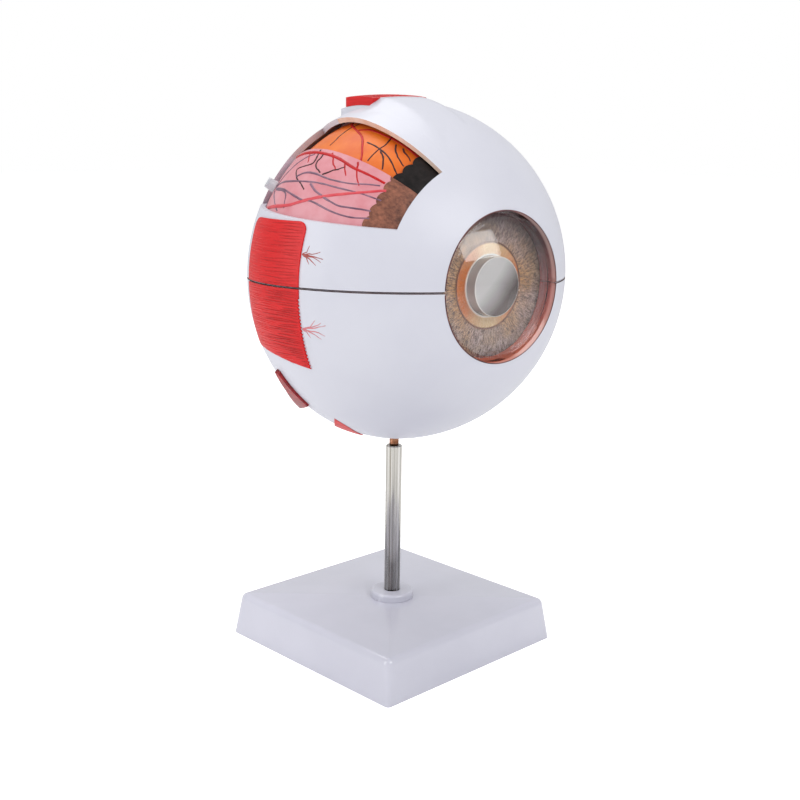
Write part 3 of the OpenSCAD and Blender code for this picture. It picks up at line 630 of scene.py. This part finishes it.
# Cream of the painted highlights: the rings on the pupil's edge and on the lens's edge.
highlight_cream = mottled("highlight_cream", (0.72, 0.68, 0.62), (0.84, 0.80, 0.74), 200, Roughness=0.2)
rod_steel = make_rod_steel()
zinc = mottled("zinc", (0.42, 0.42, 0.44), (0.55, 0.55, 0.57), 300, Metallic=1.0,
               Roughness=0.35)
copper_pin = mottled("copper_pin", (0.40, 0.17, 0.09), (0.62, 0.33, 0.2), 400, Metallic=1.0,
                     Roughness=0.3)
bush_brass = mottled("bush_brass", (0.5, 0.34, 0.13), (0.65, 0.46, 0.2), 400, Metallic=1.0,
                     Roughness=0.28)
clear_cornea = make_clear_cornea()
milky_lens = make_lens_paint()
clear_vitreous = new_material("clear_vitreous", Base_Color=(0.9, 0.95, 0.98, 1),
                              Roughness=0.03, Transmission_Weight=1.0, IOR=1.2)[0]


# ---- raised lines: vessels, muscle strands, twigs and the pin's thread ----

def make_line_tree():
    """A tree that sweeps a flattened round bar along rails. The rails carry their own place,
    the way out of the surface and half the bar's width as attributes."""
    tree = bpy.data.node_groups.new("raised_line", "GeometryNodeTree")
    sockets = (("Rails", "NodeSocketGeometry", None), ("Flatness", FLOAT, 0.4),
               ("Sides", "NodeSocketInt", 10), ("Paint", "NodeSocketMaterial", None))
    for label, kind, value in sockets:
        made = tree.interface.new_socket(label, in_out="INPUT", socket_type=kind)
        if value is not None:
            made.default_value = value
    tree.interface.new_socket("Bars", in_out="OUTPUT", socket_type="NodeSocketGeometry")
    start, end = tree.nodes.new("NodeGroupInput"), tree.nodes.new("NodeGroupOutput")

    def attribute(name, kind):
        return put(tree, "GeometryNodeInputNamedAttribute", {"Name": name},
                   data_type=kind).outputs["Attribute"]

    def vector(kind, first, second):
        return put(tree, "ShaderNodeVectorMath", {0: first, 1: second}, operation=kind)

    rails = put(tree, "GeometryNodeMeshToCurve", {"Mesh": start.outputs["Rails"]})
    profile = put(tree, "GeometryNodeCurvePrimitiveCircle",
                  {"Resolution": start.outputs["Sides"], "Radius": 1.0})
    bars = put(tree, "GeometryNodeCurveToMesh",
               {"Curve": rails.outputs[0], "Profile Curve": profile.outputs["Curve"],
                "Scale": attribute("half_width", "FLOAT"), "Fill Caps": True})
    out = attribute("out", "FLOAT_VECTOR")
    here = put(tree, "GeometryNodeInputPosition").outputs[0]
    away = vector("SUBTRACT", here, attribute("rail", "FLOAT_VECTOR")).outputs["Vector"]
    proud = vector("DOT_PRODUCT", away, out).outputs["Value"]
    squeeze = sum_of(tree, "SUBTRACT", start.outputs["Flatness"], 1.0)
    amount = sum_of(tree, "MULTIPLY", proud, squeeze)
    offset = put(tree, "ShaderNodeVectorMath", {0: out, "Scale": amount}, operation="SCALE")
    pressed = put(tree, "GeometryNodeSetPosition", {"Geometry": bars.outputs[0],
                  "Offset": offset.outputs["Vector"]})
    smooth = put(tree, "GeometryNodeSetShadeSmooth", {"Geometry": pressed.outputs[0]})
    real = put(tree, "GeometryNodeRealizeInstances", {"Geometry": smooth.outputs[0]})
    painted = put(tree, "GeometryNodeSetMaterial", {"Geometry": real.outputs[0],
                  "Material": start.outputs["Paint"]})
    tree.links.new(painted.outputs[0], end.inputs["Bars"])
    return tree


LINE_TREE = make_line_tree()


def grown(ob, tree, name, **inputs):
    """Runs a tree on an object and returns its result as a new plain mesh object."""
    modifier = ob.modifiers.new(tree.name, "NODES")
    modifier.node_group = tree
    for item in tree.interface.items_tree:
        if item.in_out == "INPUT" and item.name in inputs:
            modifier[item.identifier] = inputs[item.name]
    bpy.context.view_layer.update()
    graph = bpy.context.evaluated_depsgraph_get()
    mesh = bpy.data.meshes.new_from_object(ob.evaluated_get(graph))
    ob.modifiers.remove(modifier)
    bpy.data.objects.remove(ob)
    for label in [a.name for a in mesh.attributes if a.name in ("rail", "out", "half_width")]:
        mesh.attributes.remove(mesh.attributes[label])
    result = bpy.data.objects.new(name, mesh)
    bpy.context.scene.collection.objects.link(result)
    return result


def turn_out(mesh):
    """Makes the faces of closed bars point outwards."""
    work = bmesh.new()
    work.from_mesh(mesh)
    bmesh.ops.recalc_face_normals(work, faces=work.faces)
    work.to_mesh(mesh)
    work.free()


def raised_lines(name, lines, body, paint, flatness=0.4, sides=8):
    """lines are (points, ways out, half widths), in millimetres round the ball's centre."""
    points, out, width, edges = [], [], [], []
    for place, way, half in lines:
        first = len(points)
        points.extend(((np.asarray(place) + CENTRE) * MM).tolist())
        out.extend(np.asarray(way).tolist())
        width.extend((np.asarray(half) * MM).tolist())
        edges.extend((first + i, first + i + 1) for i in range(len(place) - 1))
    mesh = bpy.data.meshes.new(name + "_rails")
    mesh.from_pydata(points, edges, [])
    for label, kind, values in (("rail", "FLOAT_VECTOR", points), ("out", "FLOAT_VECTOR", out),
                                ("half_width", "FLOAT", width)):
        layer = mesh.attributes.new(label, kind, "POINT")
        layer.data.foreach_set("value" if kind == "FLOAT" else "vector",
                               np.asarray(values, np.float32).ravel())
    rails = bpy.data.objects.new(name + "_rails", mesh)
    bpy.context.scene.collection.objects.link(rails)
    bars = grown(rails, LINE_TREE, name, Flatness=flatness, Sides=sides, Paint=paint)
    turn_out(bars.data)
    return finish_piece(bars, name, body)


def smooth_way(knots, step=1.3):
    """Points of a smooth line through (roll, ang) knots, about step millimetres apart."""
    knots = np.asarray(knots, float)
    if len(knots) == 2:
        knots = np.array([knots[0], knots.mean(0), knots[1]])
    ends = np.concatenate([[2 * knots[0] - knots[1]], knots, [2 * knots[-1] - knots[-2]]])
    way = []
    for a, b, c, d in zip(ends, ends[1:], ends[2:], ends[3:]):
        count = max(2, int(np.hypot((c - b)[0], (c - b)[1]) * 1.2 / step))
        t = np.arange(count)[:, None] / count
        way.append(0.5 * (2 * b + (c - a) * t + (2 * a - 5 * b + 4 * c - d) * t ** 2
                          + (3 * b - a - 3 * c + d) * t ** 3))
    way.append(knots[-1:])
    return np.concatenate(way)


def vessel(knots, wide, narrow, under, wobble, seed):
    """A line on a layer that lies the given depth under the ball's surface. wobble is the
    reach of its random bends in degrees."""
    way = smooth_way(knots)
    along = np.linspace(0, 1, len(way))
    way = way + wobble * np.stack([value_noise(along * 7, along * 0 + seed, seed),
                                   value_noise(along * 7, along * 0 + seed, seed + 1)], -1)
    place = on_ball(way[:, 0], way[:, 1], under)
    out = depth_and_normal(place)[1]
    half = wide + (narrow - wide) * along + 0.06 * value_noise(along * 23, along * 0, seed + 3)
    return place, out, np.maximum(half, 0.08)


def mirrored(line):
    """The same line on the medial side."""
    place, out, half = line
    return place * [-1, 1, 1], out * [-1, 1, 1], half


# ---- iris ----

# Parts of the grid's width at which the rolled up section goes on from one face to the next
FRONT_END = 0.86
RIM_END = 0.90
BACK_END = 0.96


def make_iris_tree():
    """A grid rolled up into a closed disc with a hole. Its front has radial folds."""
    tree = bpy.data.node_groups.new("fibrous_disc", "GeometryNodeTree")
    sockets = (("Hole", PUPIL_R), ("Rim", IRIS_R), ("Fold Rim", OPENING_R - 0.4),
               ("Ring", COLLARETTE_R), ("Thickness", IRIS_T), ("Front", IRIS_Y),
               ("Height", 0.35), ("Seed", 3.0))
    for label, value in sockets:
        made = tree.interface.new_socket(label, in_out="INPUT", socket_type=FLOAT)
        made.default_value = value
    tree.interface.new_socket("Paint", in_out="INPUT", socket_type="NodeSocketMaterial")
    tree.interface.new_socket("Disc", in_out="OUTPUT", socket_type="NodeSocketGeometry")
    start, end = tree.nodes.new("NodeGroupInput"), tree.nodes.new("NodeGroupOutput")
    size = start.outputs
    grid = put(tree, "GeometryNodeMeshGrid", {"Size X": 1.0, "Size Y": 1.0,
               "Vertices X": 541, "Vertices Y": 81})
    part = put(tree, "ShaderNodeSeparateXYZ",
               {0: put(tree, "GeometryNodeInputPosition").outputs[0]})
    turn = sum_of(tree, "MULTIPLY", part.outputs["X"], 2 * math.pi)
    section = sum_of(tree, "ADD", part.outputs["Y"], 0.5)
    on_front = spread(tree, section, 0.0, FRONT_END)
    over_rim = spread(tree, section, FRONT_END, RIM_END)
    on_back = spread(tree, section, RIM_END, BACK_END)
    over_hole = spread(tree, section, BACK_END, 1.0)
    reach = sum_of(tree, "SUBTRACT", on_front, on_back)
    width = sum_of(tree, "SUBTRACT", size["Rim"], size["Hole"])
    radius = sum_of(tree, "MULTIPLY_ADD", reach, width, size["Hole"])
    sink = sum_of(tree, "MULTIPLY", sum_of(tree, "SUBTRACT", over_rim, over_hole),
                  size["Thickness"])
    cosine, sine = sum_of(tree, "COSINE", turn), sum_of(tree, "SINE", turn)
    seat = put(tree, "ShaderNodeCombineXYZ", {
        "X": sum_of(tree, "MULTIPLY", cosine, 26.0), "Y": sum_of(tree, "MULTIPLY", sine, 26.0),
        "Z": sum_of(tree, "MULTIPLY_ADD", radius, 0.22, size["Seed"])})
    noise = put(tree, "ShaderNodeTexNoise", {"Vector": seat.outputs[0], "Scale": 1.2,
                "Detail": 3.0})
    fold = spread(tree, noise.outputs["Fac"], 0.3, 0.7)
    inside = put(tree, "FunctionNodeCompare", {0: section, 1: FRONT_END}, data_type="FLOAT",
                 operation="LESS_THAN").outputs[0]
    apart = sum_of(tree, "ABSOLUTE", sum_of(tree, "SUBTRACT", radius, size["Ring"]))
    ring = spread(tree, apart, 0.0, 0.7, 1.0, 0.0)
    calm = spread(tree, sum_of(tree, "SUBTRACT", size["Fold Rim"], radius), 0.0, 1.2)
    calm_hole = spread(tree, sum_of(tree, "SUBTRACT", radius, size["Hole"]), 0.4, 1.4)
    dent = sum_of(tree, "MULTIPLY", sum_of(tree, "ADD", fold, ring), size["Height"])
    for mask in (calm, calm_hole, inside):
        dent = sum_of(tree, "MULTIPLY", dent, mask)
    deep = sum_of(tree, "ADD", sum_of(tree, "ADD", sink, dent), size["Front"])
    place = put(tree, "ShaderNodeCombineXYZ", {
        "X": sum_of(tree, "MULTIPLY", sum_of(tree, "MULTIPLY", cosine, radius), MM),
        "Y": sum_of(tree, "MULTIPLY", deep, MM),
        "Z": sum_of(tree, "MULTIPLY", sum_of(tree, "MULTIPLY_ADD", sine, radius, BALL_Z), MM)})
    rolled = put(tree, "GeometryNodeSetPosition", {"Geometry": grid.outputs["Mesh"],
                 "Position": place.outputs[0]})
    closed = put(tree, "GeometryNodeMergeByDistance", {"Geometry": rolled.outputs[0],
                 "Distance": JOIN})
    smooth = put(tree, "GeometryNodeSetShadeSmooth", {"Geometry": closed.outputs[0]})
    real = put(tree, "GeometryNodeRealizeInstances", {"Geometry": smooth.outputs[0]})
    painted = put(tree, "GeometryNodeSetMaterial", {"Geometry": real.outputs[0],
                  "Material": size["Paint"]})
    tree.links.new(painted.outputs[0], end.inputs["Disc"])
    return tree


def make_iris():
    """The disc of the iris, and the raised rings round the pupil, the collarette and the lens.
    The cream rings round the pupil and on the lens's edge are painted highlights.
    """
    seat = bpy.data.objects.new("iris_seat", bpy.data.meshes.new("iris_seat"))
    bpy.context.scene.collection.objects.link(seat)
    disc = grown(seat, make_iris_tree(), "iris_disc", Hole=PUPIL_R, Rim=IRIS_R,
                 Ring=COLLARETTE_R, Thickness=IRIS_T, Front=IRIS_Y, Height=0.35, Seed=3.0,
                 Paint=iris_paint)
    turn_out(disc.data)
    disc.data.set_sharp_from_angle(angle=math.radians(50))
    finish_piece(disc, "iris_disc", "iris_stack", ("iris",))
    turn = np.radians(np.arange(0, 361, 4.0))
    # The cream rings at the pupil and at the lens's front edge are painted highlights; the
    # collarette line is the iris's own brown ring.
    for name, radius, y, half, body, slot, paint in (
            ("pupil_highlight_ring", PUPIL_R + 0.35, IRIS_Y - 0.05, 0.3, "iris_stack", "iris_amber",
             highlight_cream),
            ("collarette_line", COLLARETTE_R, IRIS_Y + 0.2, 0.22, "iris_stack", "iris_amber",
             ciliary_brown),
            ("lens_edge_highlight", PUPIL_R - 0.35, IRIS_Y - LENS_OUT, 0.16, "lens_body", "lens_clear",
             highlight_cream)):
        place = np.stack([radius * np.cos(turn), np.full(len(turn), y), radius * np.sin(turn)],
                         -1)
        out = np.tile([0.0, -1.0, 0.0], (len(turn), 1))
        raised_lines(name, [(place, out, np.full(len(turn), half))], body, paint, 0.5, 8)


# ---- solid pieces in their finish ----

def paint_sclera(middle, flat):
    """0 white, 1 the dark seam groove, 2 the painted wall of the opening, 3 the window's rim."""
    depth = depth_and_normal(middle)[0]
    across = np.hypot(middle[:, 0], middle[:, 2])
    index = np.zeros(len(middle), int)
    index[(np.abs(middle[:, 2]) < GROOVE_HALF + 0.002) & (depth > 0.04)
          & (depth < GROOVE_DEEP + 0.06)] = 1
    index[(across < OPENING_R + 0.1) & (middle[:, 1] < IRIS_Y + 2) & (depth > 0.01)] = 2
    across_rim = flat @ np.array([-math.sin(WINDOW_ROLL), 0, -math.cos(WINDOW_ROLL)])
    index[(np.abs(across_rim) > 0.97) & (depth > -RIM_WALL) & (depth < SCLERA_T + 0.1)
          & (middle[:, 2] > RIM_HEIGHT) & (middle[:, 0] < RIM_SIDE)
          & (middle[:, 1] < RIM_REAR)] = 3
    return index


def paint_choroid(middle, flat):
    """1 on the cut edge beside the bare retina."""
    normal = depth_and_normal(middle)[1]
    return ((np.abs((flat * normal).sum(-1)) < 0.3) & (middle[:, 2] > STEP_LOW)).astype(int)


for half in ("upper", "lower"):
    from_solid(f"sclera_{half}", f"sclera_{half}_shell",
               [white_shell, seam_dark, wall_paint, window_rim], paint_sclera,
               (0.0, SCLERA_T))
    from_solid(f"choroid_{half}", f"choroid_{half}_liner", [choroid_pink, step_pink],
               paint_choroid, (CHOROID_UNDER, CHOROID_BACK,
                                                 CHOROID_RECESS))
    from_solid(f"retina_{half}", f"retina_{half}_liner", [retina_orange], None,
               (RETINA_UNDER, RETINA_BACK))
    for side in ("lateral", "medial"):
        from_solid(f"{side}_rectus_{half}", f"{side}_rectus_{half}_plate", [muscle_red],
                   None, (-MUSCLE_T, -0.1))
for node, material, slot, layers in (
        ("base_shell", base_white, "base_white", ()), ("base_pad", pad_grey, "pad_grey", ()),
        ("rod_foot", base_white, "base_white", ()), ("rod", rod_steel, "rod_steel", ()),
        ("rod_washer", zinc, "zinc_steel", ()), ("rod_nut", zinc, "zinc_steel", ()),
        ("ball_pin", copper_pin, "pin_brass", ()), ("pin_bush", bush_brass, "bush_brass", ()),
        ("locating_pegs", peg_plastic, "peg_plastic", ()),
        ("superior_rectus", muscle_red, "muscle_red", ()),
        ("inferior_rectus", muscle_red, "muscle_red", ()),
        ("superior_oblique", oblique_red, "oblique_red", ()),
        ("inferior_oblique", oblique_red, "oblique_red", ()),
        ("optic_nerve", nerve_cream, "nerve_cream", ()),
        ("nerve_vessels", vessel_red, "vessel_red", ()),
        ("brown_edge", edge_brown, "edge_brown", (CHOROID_UNDER,)),
        ("black_edge", edge_black, "edge_black", (BLACK_UNDER,)),
        ("vein_stub", vein_grey, "vein_grey", ()),
        ("cornea", clear_cornea, "cornea_clear", ()),
        ("ciliary_ring", ciliary_brown, "ciliary_brown", ()),
        ("lens", milky_lens, "lens_clear", ()),
        ("vitreous_body", clear_vitreous, "vitreous_clear", ())):
    from_solid(node, node + "_piece", [material], None, layers)
make_iris()

# ---- vessels laid bare in the window, as (roll, ang) from the rear forwards ----

artery = [((46.9, 98), (46.8, 90.5), (46.7, 76.1), (45.0, 64.7), (44.6, 53.7))]
wide_vessels = [((25.1, 99), (25.7, 84.9), (28.3, 76.8), (36.1, 60.7), (42.1, 51.9))]
veins = [((33.5, 99), (34.5, 95.2), (34.7, 85.3), (35.5, 75.7), (35.9, 68.3), (36.6, 60.9),
          (37.4, 51.6)),
         ((36.4, 85.9), (38.2, 82.5), (38.7, 77.9), (38.2, 69.6), (39.4, 62.4), (42.8, 54.8)),
         ((32.7, 98), (31.2, 87.7), (28.6, 77.6), (28.8, 74.2), (27.3, 64.2), (27.3, 57.9),
          (29.2, 52.2)),
         ((34.6, 77.5), (32.4, 73.3), (30.7, 68.2), (30.2, 60.9), (32.3, 52.9)),
         ((32.0, 98.5), (28.0, 93.6), (23.6, 87.6)),
         ((32.5, 98), (31.6, 91.8), (29.8, 87.1), (24.9, 84.4)),
         ((33.8, 99), (38, 95.5), (43, 90.5), (46, 84.2))]
dark_vessels = [((48.2, 83.2), (42.4, 81.7), (40.0, 87.5), (38.4, 87.6), (35.6, 84.2),
                 (32.1, 78.7)),
                ((46.3, 80.1), (42.2, 79.9), (39.1, 76.3)), ((38.8, 75.0), (44.2, 68.5))]
red_twigs = [((47.7, 77.0), (41.6, 71.2)), ((47.6, 66.0), (39.3, 60.8)),
             ((46.9, 88), (42.5, 84.5)), ((45.4, 70), (41.4, 66.5))]
retina_red = [((68.9, 89.0), (63.9, 84.1), (60.5, 76.1), (56.8, 71.4), (50.0, 67.0),
               (48.9, 66.3)),
              ((62.1, 78.7), (64.2, 74.6), (64.8, 67.5), (65.0, 61.5), (64.4, 53.0))]
retina_black = [((69.3, 81.8), (63.0, 83.5), (51.9, 83.2)),
                ((67.1, 66.9), (61.6, 64.6), (57.8, 64.7), (50.5, 64.8)),
                ((57.9, 70.8), (57.8, 64.7), (55.8, 58.8), (51.6, 52.6)),
                ((57.2, 64.3), (54.4, 60.4), (50.6, 58.2)),
                ((63.2, 62.1), (59.6, 58.8), (56.5, 53.4)), ((63.3, 59.1), (60.5, 53.4))]

for name, ways, wide, narrow, under, paint, slot in (
        ("choroid_artery", artery, 0.95, 0.5, CHOROID_UNDER, vessel_red, "vessel_red"),
        ("choroid_wide_vessel", wide_vessels, 0.85, 0.55, CHOROID_UNDER, vessel_pink,
         "vessel_red"),
        ("choroid_veins", veins, 0.52, 0.3, CHOROID_UNDER, vessel_violet, "vein_grey"),
        ("choroid_dark_vessels", dark_vessels, 0.42, 0.26, CHOROID_UNDER, vessel_dark,
         "vein_grey"),
        ("choroid_red_twigs", red_twigs, 0.42, 0.22, CHOROID_UNDER, vessel_red, "vessel_red"),
        ("retina_arteries", retina_red, 0.6, 0.4, RETINA_UNDER, vessel_red, "vessel_red"),
        ("retina_veins", retina_black, 0.4, 0.28, RETINA_UNDER, vessel_dark, "vein_grey")):
    raised_lines(name, [vessel(way, wide, narrow, under, 0.3, 11 + 5 * i)
                        for i, way in enumerate(ways)], "upper_liner", paint, 0.34)

# ---- vessels on the inner side of the retina, out of the optic disc ----

def retina_tree(low, seed):
    """Arteries or veins that fan out from the nerve over one half of the retina."""
    dice = np.random.default_rng(seed)
    sign = -1 if low else 1
    limits = (-172, -8) if low else (8, 172)
    lines = []
    for fan in np.linspace(12, 168, 8) + dice.uniform(-5, 5, 8):
        roll = sign * fan
        reach = dice.uniform(84, 98)
        bend = dice.uniform(-14, 14)
        first, second, third = np.clip([roll + bend, roll + bend / 3, roll], *limits)
        lines.append(vessel([(sign * 176, 165), (first * 0.5 + sign * 82, 150), (first, 132),
                             (second, 112), (third, reach)],
                            0.55, 0.2, RETINA_BACK, 0.8, int(seed + fan)))
        for root, ang in ((first, 132), (second, 114)):
            fork = float(np.clip(roll + dice.uniform(-17, 17), *limits))
            lines.append(vessel([(root, ang), (fork, ang - 20)], 0.3, 0.14, RETINA_BACK, 0.6,
                                int(seed + ang + fan)))
    return lines


for half, low in (("upper", False), ("lower", True)):
    for name, paint, slot, seed in (("arteries", vessel_red, "vessel_red", 21),
                                    ("veins", vessel_dark, "vein_grey", 57)):
        raised_lines(f"inner_{name}_{half}", retina_tree(low, seed), f"{half}_liner",
                     paint, 0.4, 6)

# ---- twigs on the sclera in front of the side muscles, as (root, tips) ----

upper_twig = ((11.0, 69.6), [(13.9, 67.5), (12.8, 63.5), (10.5, 62.5), (8.1, 66.9),
                             (8.1, 64.7), (9.2, 62.9)])
lower_twig = ((-13.5, 70.2), [(-10.6, 65.0), (-11.2, 63.2), (-12.2, 61.9), (-16.6, 67.9),
                              (-17.1, 64.4), (-16.2, 62.6)])
for half, (root, tips), paint in (("upper", upper_twig, twig_brown),
                                  ("lower", lower_twig, twig_pink)):
    for side in ("lateral", "medial"):
        lines = []
        for i, tip in enumerate(tips):
            knee = (root[0] + 0.35 * (tip[0] - root[0]), root[1] + 0.55 * (tip[1] - root[1]))
            line = vessel([root, knee, tip], 0.32, 0.1, 0.0, 0.25, 31 + i)
            lines.append(mirrored(line) if side == "medial" else line)
        raised_lines(f"{side}_twig_{half}", lines, f"{half}_half", paint, 0.35, 6)

# ---- dark line round the opening ----

arc = np.radians(np.arange(0.4, 179.7, 2.0))
line_r = OPENING_R + 0.05
line_y = -math.sqrt(BALL_R ** 2 - OPENING_R ** 2)
for half, sign in (("upper", 1), ("lower", -1)):
    place = np.stack([line_r * np.cos(arc), np.full(len(arc), line_y),
                      sign * line_r * np.sin(arc)], -1)
    raised_lines(f"opening_line_{half}", [(place, depth_and_normal(place)[1],
                                           np.full(len(arc), 0.26))],
                 f"{half}_half", opening_dark, 0.4, 8)


# ---- strands on the muscles ----

def strand_ends(z):
    """Front and rear end of a strand of the lateral rectus that lies at height z."""
    corner = max(0.0, z - MUSCLE_TOP + MUSCLE_CORNER)
    inset = MUSCLE_CORNER - math.sqrt(max(MUSCLE_CORNER ** 2 - corner ** 2, 0))
    front, rear = MUSCLE_FRONT + inset, MUSCLE_REAR - inset
    if z < 0:
        front += MUSCLE_TIP_BACK * (z / MUSCLE_LOW) ** 2
    if z < -LOW_EDGE_DROPS[0]:
        rear = min(rear, np.interp(-z, LOW_EDGE_DROPS, LOW_EDGE_REARS))
    return front, rear


def side_strands(low, seed):
    """Strands along the lateral rectus, each in two pieces with a random gap between them."""
    dice = np.random.default_rng(seed)
    rows = np.arange(-32.0, -0.9, 0.95) if low else np.arange(1.1, 25.4, 1.25)
    half_width, bow, limits = ((0.30, 0.6, (-33.0, -0.75)) if low
                               else (0.17, -0.4, (0.75, 25.6)))
    lines = []
    for z in rows + dice.uniform(-0.25, 0.25, len(rows)):
        front, rear = strand_ends(z)
        middle = front + dice.uniform(0.25, 0.75) * (rear - front)
        for start, end in ((front, middle - 0.8), (middle + 0.8, rear)):
            if end - start < 3:
                continue
            y = np.arange(start, end, 1.2)
            wander = 0.35 * value_noise(y * 0.12, y * 0 + z, seed)
            height = z + wander - 0.0016 * (y + 8) ** 2 * bow
            height = np.clip(height, *limits)
            place = np.stack([-np.sqrt(outline_radius(y) ** 2 - height ** 2), y, height], -1)
            out = depth_and_normal(place)[1]
            swell = np.sin(np.linspace(0.25, math.pi - 0.25, len(y)))
            lines.append((place + out * (MUSCLE_T - 0.02), out, half_width * swell + 0.06))
    return lines


for half, low, seed in (("upper", False, 5), ("lower", True, 9)):
    strand_lines = side_strands(low, seed)
    for side in ("lateral", "medial"):
        lines = [mirrored(line) if side == "medial" else line for line in strand_lines]
        for tone, paint, start in (("dark", strand_dark, 0), ("light", strand_light, 1)):
            raised_lines(f"{side}_{tone}_strands_{half}", lines[start::2], f"{half}_half",
                         paint, 0.3, 6)


def top_strands():
    """Strands over the superior rectus, on its wheel shaped top."""
    dice = np.random.default_rng(13)
    lines = []
    for x in np.arange(-20.2, 7.4, 1.1):
        turn = np.radians(np.arange(-8.2 + dice.uniform(0, 1), 6.6 - dice.uniform(0, 1), 0.9))
        if x < -17.5 or x > 4.5:
            turn = turn[turn < np.radians(4.6)]
        radius = BALL_R - x * x / (2 * TOP_CROWN_R)
        place = np.stack([np.full(len(turn), x), TOP_BACK + radius * np.sin(turn),
                          TOP_RISE + radius * np.cos(turn)], -1)
        out = np.stack([np.full(len(turn), x / TOP_CROWN_R), np.sin(turn), np.cos(turn)], -1)
        out /= np.linalg.norm(out, axis=1)[:, None]
        lines.append((place - out * 0.04, out, np.full(len(turn), 0.34)))
    return lines


for tone, paint, start in (("dark", strand_dark, 0), ("light", strand_light, 1)):
    raised_lines(f"superior_strands_{tone}", top_strands()[start::2], "upper_half",
                 paint, 0.3, 6)

# ---- thread on the pin's neck ----

turn = np.radians(np.arange(0, 360 * 5.6, 12.0))
rise = np.linspace(0.5, NECK_H - 0.6, len(turn)) + ROD_TOP - BALL_Z
flat_turn = np.stack([np.cos(turn), np.sin(turn), np.zeros(len(turn))], -1)
thread = flat_turn * (NECK_R - 0.02)
thread[:, 2] = rise
raised_lines("neck_thread", [(thread, flat_turn, np.full(len(turn), 0.24))], "turning_pin",
             copper_pin, 0.8, 8)
